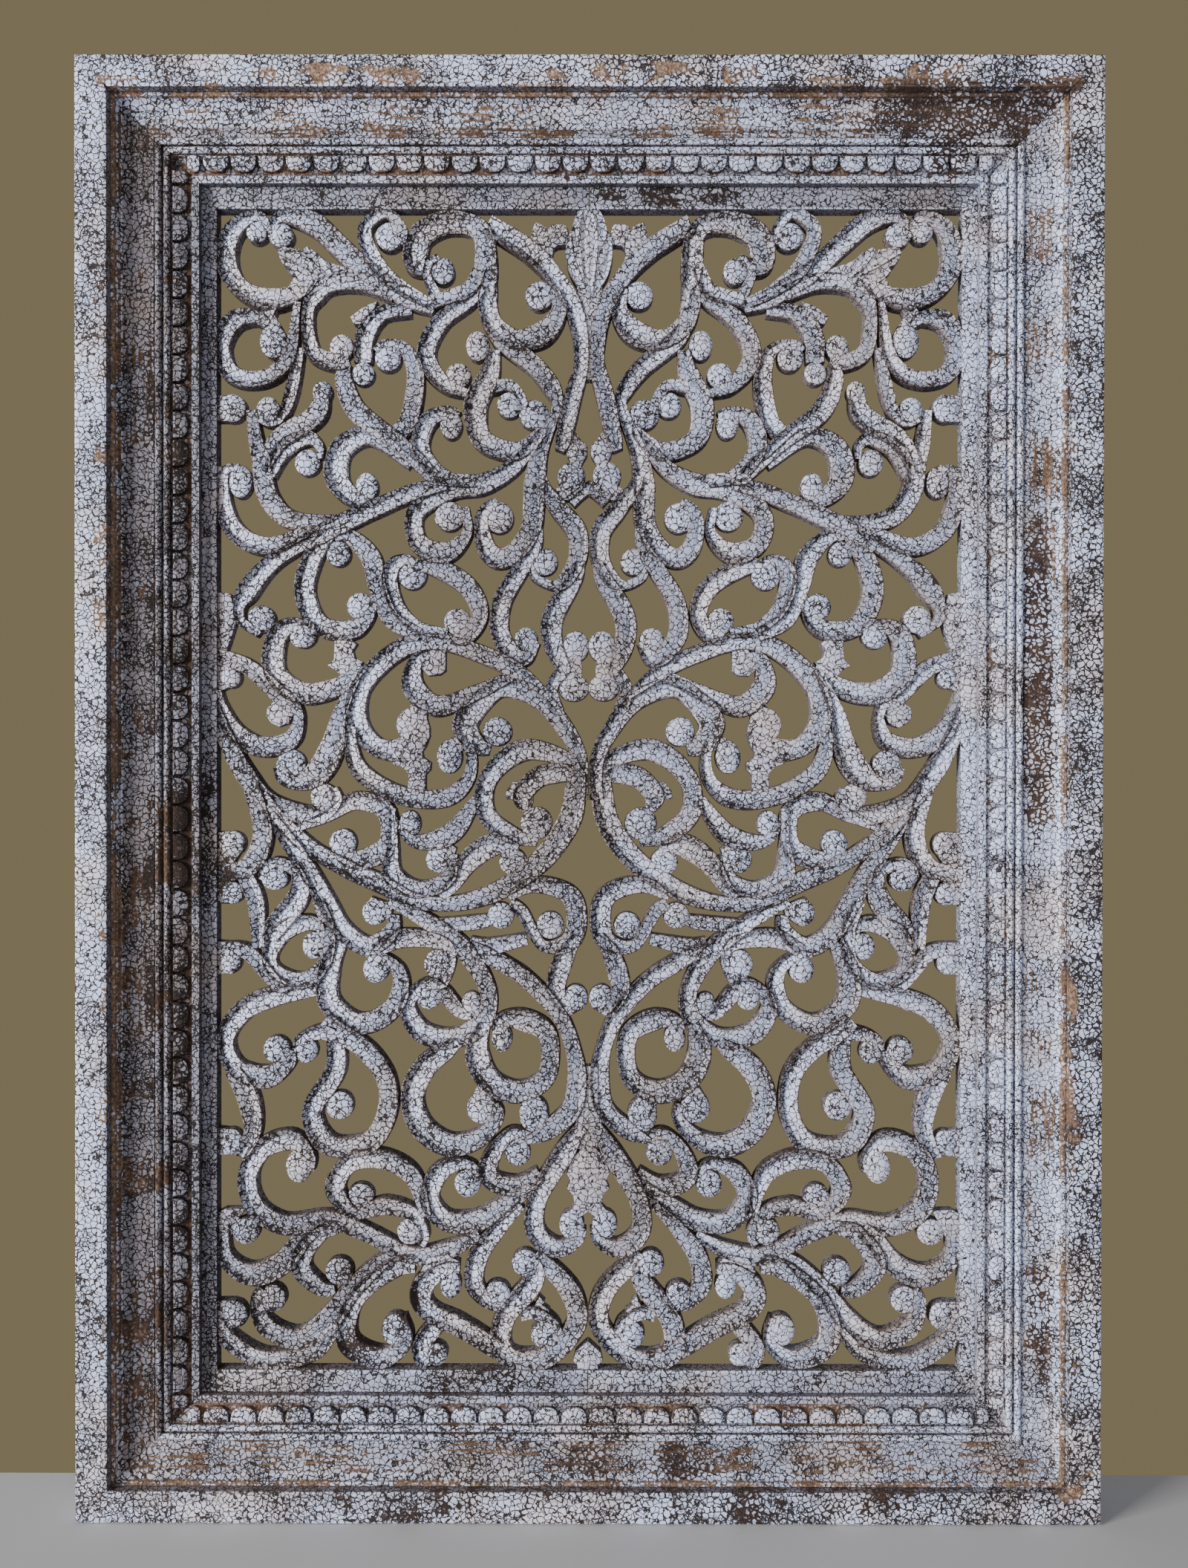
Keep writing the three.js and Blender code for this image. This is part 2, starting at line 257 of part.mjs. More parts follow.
// Leaves, lobes and webs: a name, then [across, up] at each corner of the outline.
const LEAVES = [
  ["finial_leaf", [-2,408], [7,408], [8.5,400], [11,394], [14.3,388.5], [16,382], [14.5,377.5], [13.5,373.5],
    [16,369.5], [15,365], [11,357], [6,349], [-2,340]],
  ["tulip_lobes", [15.6,381], [14.8,392], [17.5,395.5], [26.8,395.3], [29.3,391], [30.8,394.5], [38,397.3],
    [40,391], [41,386], [46,384], [34,366], [23,366], [25.5,374.3], [24.6,378.8], [21.9,380.5], [18,380.8]],
  ["spray_leaf", [158,357], [165,363], [170,365.5], [180,368.5], [185,371], [190.5,376], [195,377.8],
    [199.5,376.5], [202,378], [208.5,379], [213.5,380], [217.3,378], [216.5,371.5], [213.5,367], [208.5,365.3],
    [207,361.5], [206.6,358.5], [209,354], [212,349], [200,343], [190,349], [180,353]],
  ["thorn", [148,342], [157,339], [163.5,334], [167.3,331], [164.5,326], [155,326]],
  ["corner_neck", [215,324], [221,334], [231,335], [232,325]],
  ["heart_base", [1,215], [6,209], [14,203], [22,204], [24,211], [19,214], [8,214]],
  ["heart_neck", [1,241], [5,245], [10,252], [18,248], [17,238], [14,232], [13.5,226], [6,226], [2,234]],
  ["vase_body", [6,94], [4.5,87], [5,76], [8,70], [20,74], [23,84], [26,92], [18,98]],
  ["claw_great", [100,99], [100,84], [104,81], [112,80.3], [117.3,85], [117,92], [110,100]],
  ["clover", [113,50.5], [111.2,44.3], [111.2,38], [113.9,31], [116.5,27.3], [115.6,23.7], [110.3,20],
    [110.7,14.8], [113.9,11.2], [114,-2], [127,-2], [126,12], [131,17], [137,19], [137,36], [131,37.5],
    [133.5,40.7], [134.8,46], [133.5,51.4], [129.9,56], [124.6,58.5], [124,64], [114,64], [113.5,56]],
  ["claw_side", [204,65], [206,55], [210,47], [217,44.5], [223,47.5], [226,52], [225.5,58], [221,62.5],
    [212,66]],
  ["cross_leaf", [162,103], [168,108], [178,107], [178.5,92], [183,87.5], [177,84], [172,78], [163,82],
    [158,90], [163.7,93.5], [165,98]],
  ["rail_slab", [262,140], [251,138], [248.5,129], [247,117], [250,107], [253,98], [257,94], [262,94]],
  ["knob_slab_a", [250,87], [262,90], [262,70], [256,70], [252,72]],
  ["knob_slab_b", [250,-28.5], [262,-28.5], [262,-54], [248,-50], [244,-44]],
  ["knob_slab_c", [250,-62], [262,-58], [262,-79], [252,-79.5]],
  ["knob_slab_d", [250,-112], [262,-108], [262,-129], [252,-128]],
  ["knob_slab_e", [250,-237], [262,-236], [262,-256], [250,-255]],
  ["knob_slab_f", [247,-357.5], [262,-357.5], [262,-388], [250,-378]],
  ["knob_slab_g", [240,-293], [255,-293], [262,-297], [262,-312], [250,-312], [246,-302]],
  ["knob_slab_h", [252,226], [262,228], [262,186], [256,200]],
  ["knob_slab_i", [250,277], [262,276], [262,258], [250,258]],
  ["neck_a", [90,40], [97,37], [97,28], [87,28]],
  ["neck_b", [44,6], [53,6.5], [58,0], [58.7,-5.8], [53,-6], [49.5,-12.3], [46.5,-15], [40.5,-12.5], [39,-8],
    [39,2]],
  ["neck_c", [92,-40], [98,-36], [112,-38], [113,-46], [94,-46]],
  ["neck_d", [136,-80], [152,-74], [156,-80], [145,-93], [138,-88]],
  ["neck_e", [5,-151], [16,-149], [20,-153], [19,-158], [14,-158.5], [8,-155]],
  ["centre_bar", [-2,-192], [7,-193], [7.5,-225], [10,-235], [9.5,-245], [7,-251], [-2,-249]],
  ["bell_leaf", [-2,-246], [5,-250], [12,-258], [15,-268], [12.5,-273], [14.8,-278.5], [10.5,-283.5],
    [9.5,-290], [14,-295], [4,-298], [-2,-293]],
  ["neck_f", [33,-217], [36,-210], [46,-214], [48,-221], [30,-221]],
  ["neck_g", [43,-241], [53,-241], [54,-248], [42,-249]],
  ["neck_h", [68,-209], [77,-205], [82,-214], [68,-214]],
  ["foot_fringe", [34,-354], [30,-358], [32,-360], [26.5,-364], [30,-369], [38,-362]],
  ["base_fill", [90,-330], [98,-325], [112,-327], [118,-337], [100,-337], [90,-338]],
  ["bottom_bud", [-2,-384], [3,-388], [9,-393.5], [10.5,-400], [7.5,-403], [7,-408], [-2,-408]],
];

const drawnPlaces = [...RIBBONS, ...LEAVES].flatMap((row) => row.filter(Array.isArray));
const drawnHalfWidth = Math.max(...drawnPlaces.map(([x]) => x)) - DRAWN_LAP;
const drawnHalfHeight = Math.max(...drawnPlaces.map(([, y]) => y)) - DRAWN_LAP;
const toSpan = OPENING_HALF_WIDTH / drawnHalfWidth;
const toRise = OPENING_HALF_HEIGHT / drawnHalfHeight;
const toWidth = RIBBON_WIDTH / DRAWN_RIBBON_WIDTH * Math.sqrt(toSpan * toRise);

// Geometry is drawn face up: x across, y up the panel, z out from the wall.
const wasm = await Module();
wasm.setup();

/** Closed geometry as a solid that can be joined and cut. */
function toSolid(geometry) {
  const bare = geometry.clone();
  bare.deleteAttribute('normal');
  bare.deleteAttribute('uv');
  const merged = mergeVertices(bare, 1e-4);
  return new wasm.Manifold(new wasm.Mesh({
    numProp: 3,
    vertProperties: new Float32Array(merged.getAttribute('position').array),
    triVerts: new Uint32Array(merged.index.array),
  }));
}

/** A solid back as flat-shaded geometry. */
function toGeometry(solid) {
  const { vertProperties, triVerts } = solid.getMesh();
  const indexed = new THREE.BufferGeometry();
  indexed.setAttribute('position', new THREE.BufferAttribute(vertProperties, 3));
  indexed.setIndex(new THREE.BufferAttribute(triVerts, 1));
  const geometry = indexed.toNonIndexed();
  geometry.computeVertexNormals();
  return geometry;
}

/** An outline of [x, y] points, either way round, from one depth to another. */
function slab(outline, low, high) {
  const shape = new THREE.Shape(outline.map(([x, y]) => new THREE.Vector2(x, y)));
  const geometry = new THREE.ExtrudeGeometry(shape, { depth: high - low, bevelEnabled: false });
  return geometry.translate(0, 0, low);
}

/** Stations along a ribbon: its middle, its direction and its half width. */
function stations(points) {
  const scaled = points.map(([x, y, w]) => new THREE.Vector3(x * toSpan, y * toRise, w * toWidth));
  const curve = new THREE.CatmullRomCurve3(scaled, false, 'centripetal');
  const spans = scaled.length - 1;
  const heading = (t) => curve.getTangent(t).setZ(0).normalize();
  const found = [];
  for (let span = 0; span < spans; span++) {
    const from = span / spans;
    const half = (span + 0.5) / spans;
    const to = (span + 1) / spans;
    const turn = heading(from).angleTo(heading(half)) + heading(half).angleTo(heading(to));
    const steps = Math.max(1, Math.ceil(turn / TURN_STEP));
    for (let step = 0; step < steps; step++) found.push(from + (to - from) * step / steps);
  }
  found.push(1);
  return found.map((t) => {
    const place = curve.getPoint(t);
    return { x: place.x, y: place.y, halfWidth: place.z / 2, ahead: heading(t) };
  });
}

/** The four-sided outlines of a ribbon, one from each station to the next. */
function ribbonOutlines(points) {
  const edges = stations(points).map(({ x, y, halfWidth, ahead }) => ({
    left: [x - ahead.y * halfWidth, y + ahead.x * halfWidth],
    right: [x + ahead.y * halfWidth, y - ahead.x * halfWidth],
    ahead,
  }));
  const outlines = [];
  for (let i = 0; i + 1 < edges.length; i++) {
    const [left, nextLeft] = pinch(edges[i].left, edges[i + 1].left, edges[i].ahead);
    const [right, nextRight] = pinch(edges[i].right, edges[i + 1].right, edges[i].ahead);
    const corners = [left, nextLeft, nextRight, right];
    outlines.push(corners.filter((corner, k) => corner !== corners[(k + 1) % corners.length]));
  }
  return outlines;
}

/** Two corners of one edge, drawn together where a tight turn would put them in the wrong order. */
function pinch(from, to, ahead) {
  const along = (to[0] - from[0]) * ahead.x + (to[1] - from[1]) * ahead.y;
  if (along > 0.2) return [from, to];
  const middle = [(from[0] + to[0]) / 2, (from[1] + to[1]) / 2];
  return [middle, middle];
}

/** An oval with KNOB_SIDES sides. */
function oval(x, y, acrossRadius, upRadius) {
  return Array.from({ length: KNOB_SIDES }, (_, k) => {
    const angle = (k + 0.5) * 2 * Math.PI / KNOB_SIDES;
    return [x + acrossRadius * Math.cos(angle), y + upRadius * Math.sin(angle)];
  });
}

/** A rectangle between two corners. */
function rectangle(x0, y0, x1, y1) {
  return [[x0, y0], [x1, y0], [x1, y1], [x0, y1]];
}

/** The closed edges of a plate's front face, each a loop of [x, y] points. */
function faceLoops(plate, level) {
  const { vertProperties, triVerts } = plate.getMesh();
  const onFace = (vertex) => vertProperties[vertex * 3 + 2] > level - 0.01;
  const edges = new Map();
  for (let i = 0; i < triVerts.length; i += 3) {
    const corners = [...triVerts.subarray(i, i + 3)];
    if (corners.every(onFace)) corners.forEach((from, k) => edges.set(`${from},${corners[(k + 1) % 3]}`, from));
  }
  const next = new Map();
  for (const edge of edges.keys()) {
    const [from, to] = edge.split(',').map(Number);
    if (!edges.has(`${to},${from}`)) next.set(from, to);
  }
  const loops = [];
  while (next.size > 0) {
    const loop = [];
    let vertex = next.keys().next().value;
    while (next.has(vertex)) {
      const after = next.get(vertex);
      next.delete(vertex);
      loop.push([vertProperties[vertex * 3], vertProperties[vertex * 3 + 1]]);
      vertex = after;
    }
    loops.push(loop);
  }
  return loops;
}

/** Whether two sides of a closed loop cross. */
function crossesItself(loop) {
  const side = ([ax, ay], [bx, by], [cx, cy]) => (bx - ax) * (cy - ay) - (by - ay) * (cx - ax);
  const sides = loop.map((from, k) => [from, loop[(k + 1) % loop.length]]);
  return sides.some(([a, b], i) => sides.some(([c, d], j) => {
    const apart = Math.abs(i - j);
    if (apart < 2 || apart === loop.length - 1) return false;
    return side(a, b, c) * side(a, b, d) < 0 && side(c, d, a) * side(c, d, b) < 0;
  }));
}

/** A closed loop without the points whose corner cuts off less than this area. */
function plainerLoop(loop, leastCorner = LEAST_CORNER) {
  const kept = [...loop];
  const corner = (k) => Math.abs(signedArea([
    kept[(k + kept.length - 1) % kept.length],
    kept[k],
    kept[(k + 1) % kept.length],
  ]));
  while (kept.length > 3) {
    const corners = kept.map((_, k) => corner(k));
    const smallest = Math.min(...corners);
    if (smallest >= leastCorner) break;
    kept.splice(corners.indexOf(smallest), 1);
  }
  const whole = kept.length === loop.length;
  return whole || !crossesItself(kept) ? kept : plainerLoop(loop, leastCorner / 2);
}

/** The right carved board: border, ribbons, knobs and leaves joined in one flat pierced piece. */
function carvedBoard() {
  const seam = CLEARANCE / 2;
  const full = rectangle(seam, -BOARD_HALF_HEIGHT, BOARD_HALF_WIDTH, BOARD_HALF_HEIGHT);
  const opening = rectangle(-SPINE, -OPENING_HALF_HEIGHT, OPENING_HALF_WIDTH, OPENING_HALF_HEIGHT);
  const spine = rectangle(-SPINE, -BOARD_HALF_HEIGHT, seam, BOARD_HALF_HEIGHT);
  const border = toSolid(slab(full, 0, 1)).subtract(toSolid(slab(opening, -1, 2)));
  const outlines = [
    ...RIBBONS.flatMap(([, , ...points]) => ribbonOutlines(points)),
    ...KNOBS.map(([x, y, rx, ry]) => oval(x * toSpan, y * toRise, rx * toWidth, ry * toWidth)),
    ...LEAVES.map(([, ...points]) => points.map(([x, y]) => [x * toSpan, y * toRise])),
  ];
  const carving = outlines.map((outline) => toSolid(slab(outline, 0, 1)));
  const plate = wasm.Manifold.union([border, toSolid(slab(spine, 0, 1)), ...carving]);
  const low = BOARD_FACE - BOARD_THICKNESS;
  const piercings = faceLoops(plate, 1)
    .filter((loop) => signedArea(loop) < -LEAST_PIERCING)
    .map((loop) => toSolid(slab(plainerLoop(loop), low - 1, BOARD_FACE + 1)));
  return toGeometry(toSolid(slab(full, low, BOARD_FACE)).subtract(wasm.Manifold.union(piercings)));
}

/** Area inside a loop, negative where the loop runs clockwise round a hole. */
function signedArea(loop) {
  return THREE.ShapeUtils.area(loop.map(([x, y]) => new THREE.Vector2(x, y)));
}

/** Section of an outer board, as [inwards, out] from its outer back corner. */
function bandSection() {
  return [
    [0, 0],
    [BAND_WIDTH, 0],
    [BAND_WIDTH, BAND_DEPTH - ARRIS],
    [BAND_WIDTH - ARRIS, BAND_DEPTH],
    [ARRIS, BAND_DEPTH],
    [0, BAND_DEPTH - ARRIS],
  ];
}

/** Section of the moulding, as [inwards, out] from the panel's outer back corner. */
function mouldingSection() {
  const start = BAND_WIDTH + CLEARANCE;
  const coveStart = BAND_WIDTH + FILLET_WIDTH;
  const beadStart = coveStart + COVE_WIDTH + FLAT_WIDTH;
  const scallopStart = beadStart + BEAD_COUNT * BEAD_WIDTH;
  const grooveStart = scallopStart + SCALLOP_WIDTH;
  const lipStart = grooveStart + GROOVE_WIDTH;
  const section = [[start, 0], [start, BAND_DEPTH - FILLET_DROP]];
  for (let step = 0; step <= COVE_STEPS; step++) {
    const angle = step / COVE_STEPS * Math.PI / 2;
    section.push([
      coveStart + COVE_WIDTH * (1 - Math.cos(angle)),
      BAND_DEPTH - FILLET_DROP - (COVE_DROP - FILLET_DROP) * Math.sin(angle),
    ]);
  }
  for (let bead = 0; bead < BEAD_COUNT; bead++) {
    for (let step = 0; step < BEAD_STEPS; step++) {
      const angle = step / BEAD_STEPS * Math.PI;
      section.push([
        beadStart + (bead + (1 - Math.cos(angle)) / 2) * BEAD_WIDTH,
        BAND_DEPTH - COVE_DROP + BEAD_RISE * Math.sin(angle),
      ]);
    }
  }
  section.push(
    [scallopStart, BAND_DEPTH - COVE_DROP],
    [scallopStart, BAND_DEPTH - SCALLOP_DROP],
    [grooveStart, BAND_DEPTH - SCALLOP_DROP - SCALLOP_SLOPE],
    [grooveStart, BAND_DEPTH - GROOVE_DROP],
    [lipStart, BAND_DEPTH - GROOVE_DROP],
    [lipStart, BAND_DEPTH - LIP_DROP],
    [FRAME_WIDTH, BAND_DEPTH - LIP_DROP],
    [FRAME_WIDTH, BOARD_FACE + CLEARANCE],
    [FRAME_WIDTH - REBATE_WIDTH, BOARD_FACE + CLEARANCE],
    [FRAME_WIDTH - REBATE_WIDTH, 0],
  );
  return section;
}

/** A length with this section along the top edge, mitred at both ends. The outer edge is on y = 0. */
function mitredLength(section, halfLength) {
  const shape = new THREE.Shape(section.map(([inwards, out]) => new THREE.Vector2(inwards, out)));
  const geometry = new THREE.ExtrudeGeometry(shape, { depth: 1, bevelEnabled: false });
  const place = geometry.getAttribute('position');
  for (let i = 0; i < place.count; i++) {
    const inwards = place.getX(i);
    const reach = halfLength - inwards - CLEARANCE / Math.SQRT2;
    place.setXYZ(i, place.getZ(i) > 0.5 ? -reach : reach, -inwards, place.getY(i));
  }
  return geometry;
}

/** A moulding length with the notches that part its scallops. */
function scallopedLength(halfLength) {
  const grooveStart = FRAME_WIDTH - LIP_WIDTH - GROOVE_WIDTH;
  const root = -(grooveStart - SCALLOP_WIDTH + SCALLOP_ROOT);
  const mouth = -(grooveStart + GROOVE_WIDTH / 2);
  const run = 2 * (halfLength - grooveStart) - SCALLOP_PITCH;
  const count = Math.max(1, Math.round(run / SCALLOP_PITCH));
  const notches = Array.from({ length: count + 1 }, (_, k) => {
    const middle = (k / count - 0.5) * run;
    const outline = [[middle, root], [middle + SCALLOP_NOTCH / 2, mouth], [middle - SCALLOP_NOTCH / 2, mouth]];
    return toSolid(slab(outline, BAND_DEPTH - GROOVE_DROP, BAND_DEPTH));
  });
  const length = toSolid(mitredLength(mouldingSection(), halfLength));
  return toGeometry(length.subtract(wasm.Manifold.union(notches)));
}

const PAINTED = { roughness: 0.82, metalness: 0 };
const bandFinish = new THREE.MeshStandardMaterial({ color: 0xe6e4ea, ...PAINTED });
const mouldingFinish = new THREE.MeshStandardMaterial({ color: 0xe2e0e8, ...PAINTED });
const carvingFinish = new THREE.MeshStandardMaterial({ color: 0xe4e3ec, ...PAINTED });

const front = new THREE.Group();
front.rotation.x = Math.PI / 2;
front.position.z = -(PANEL_HEIGHT - BAND_WIDTH) / 2;

// The four sides, each turned from the top one.
const sides = [
  { name: 'top', x: 0, y: PANEL_HEIGHT / 2, turn: 0, halfLength: PANEL_WIDTH / 2 },
  { name: 'left', x: -PANEL_WIDTH / 2, y: 0, turn: Math.PI / 2, halfLength: PANEL_HEIGHT / 2 },
  { name: 'bottom', x: 0, y: -PANEL_HEIGHT / 2, turn: Math.PI, halfLength: PANEL_WIDTH / 2 },
  { name: 'right', x: PANEL_WIDTH / 2, y: 0, turn: -Math.PI / 2, halfLength: PANEL_HEIGHT / 2 },
];
for (const { name, x, y, turn, halfLength } of sides) {
  const board = new THREE.Mesh(mitredLength(bandSection(), halfLength), bandFinish);
  board.name = `outer_board_${name}`;
  const moulding = new THREE.Mesh(scallopedLength(halfLength), mouldingFinish);
  moulding.name = `moulding_${name}`;
  const side = new THREE.Group();
  side.position.set(x, y, 0);
  side.rotation.z = turn;
  side.add(board, moulding);
  front.add(side);
}

// The two carved boards meet at a seam on the middle line, and the left one mirrors the right one.
const carvedGeometry = carvedBoard();
for (const { name, hand } of [{ name: 'right', hand: 1 }, { name: 'left', hand: -1 }]) {
  const board = new THREE.Mesh(carvedGeometry, carvingFinish);
  board.name = `carved_board_${name}`;
  board.scale.x = hand;
  front.add(board);
}

const panel = new THREE.Group();
panel.add(front);

export default panel;
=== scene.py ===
"""Relief panel: a pierced, carved arabesque under cracked white paint, in a moulded frame.

Every length is in metres unless a name says otherwise. The drawing of the arabesque is in millimetres. A
place on the panel is (across, up, out): across and up from the panel's middle, and out from the wall.
"""

from __future__ import annotations

import logging
import math
from collections.abc import Callable, Iterable, Mapping, Sequence
from dataclasses import dataclass, field
from enum import Enum
from functools import reduce

import bmesh
import bpy
from mathutils import Matrix, Vector, noise

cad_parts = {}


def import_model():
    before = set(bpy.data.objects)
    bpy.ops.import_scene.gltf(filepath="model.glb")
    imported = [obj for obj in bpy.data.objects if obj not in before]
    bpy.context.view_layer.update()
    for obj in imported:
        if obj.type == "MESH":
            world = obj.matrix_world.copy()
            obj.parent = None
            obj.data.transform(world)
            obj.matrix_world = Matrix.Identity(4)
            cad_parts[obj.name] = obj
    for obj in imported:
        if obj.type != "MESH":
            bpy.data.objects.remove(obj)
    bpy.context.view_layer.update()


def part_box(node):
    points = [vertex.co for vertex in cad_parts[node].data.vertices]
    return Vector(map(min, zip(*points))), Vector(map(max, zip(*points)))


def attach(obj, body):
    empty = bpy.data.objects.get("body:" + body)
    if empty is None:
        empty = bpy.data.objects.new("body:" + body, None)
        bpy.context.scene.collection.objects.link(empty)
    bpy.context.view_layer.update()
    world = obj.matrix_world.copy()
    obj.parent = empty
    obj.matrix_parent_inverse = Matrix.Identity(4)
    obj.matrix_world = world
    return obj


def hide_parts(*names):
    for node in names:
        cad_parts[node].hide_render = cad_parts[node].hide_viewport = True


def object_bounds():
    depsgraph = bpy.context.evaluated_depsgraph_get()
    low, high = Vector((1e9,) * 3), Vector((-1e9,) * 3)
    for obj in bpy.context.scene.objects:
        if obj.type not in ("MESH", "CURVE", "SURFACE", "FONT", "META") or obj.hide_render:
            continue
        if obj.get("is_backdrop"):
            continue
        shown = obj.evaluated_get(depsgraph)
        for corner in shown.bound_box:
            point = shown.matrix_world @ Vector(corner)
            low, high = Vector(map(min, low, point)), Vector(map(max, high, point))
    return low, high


LOG = logging.getLogger("relief_panel")
CARVE = "carve"
MM = 0.001
GAP = 0.3 * MM
NEAR = 1e-6
SEED = 7

Shape = bmesh.types.BMesh
Point = tuple[float, float]
Triple = tuple[float, float, float]
Colour = tuple[float, float, float, float]
Drawn = Triple

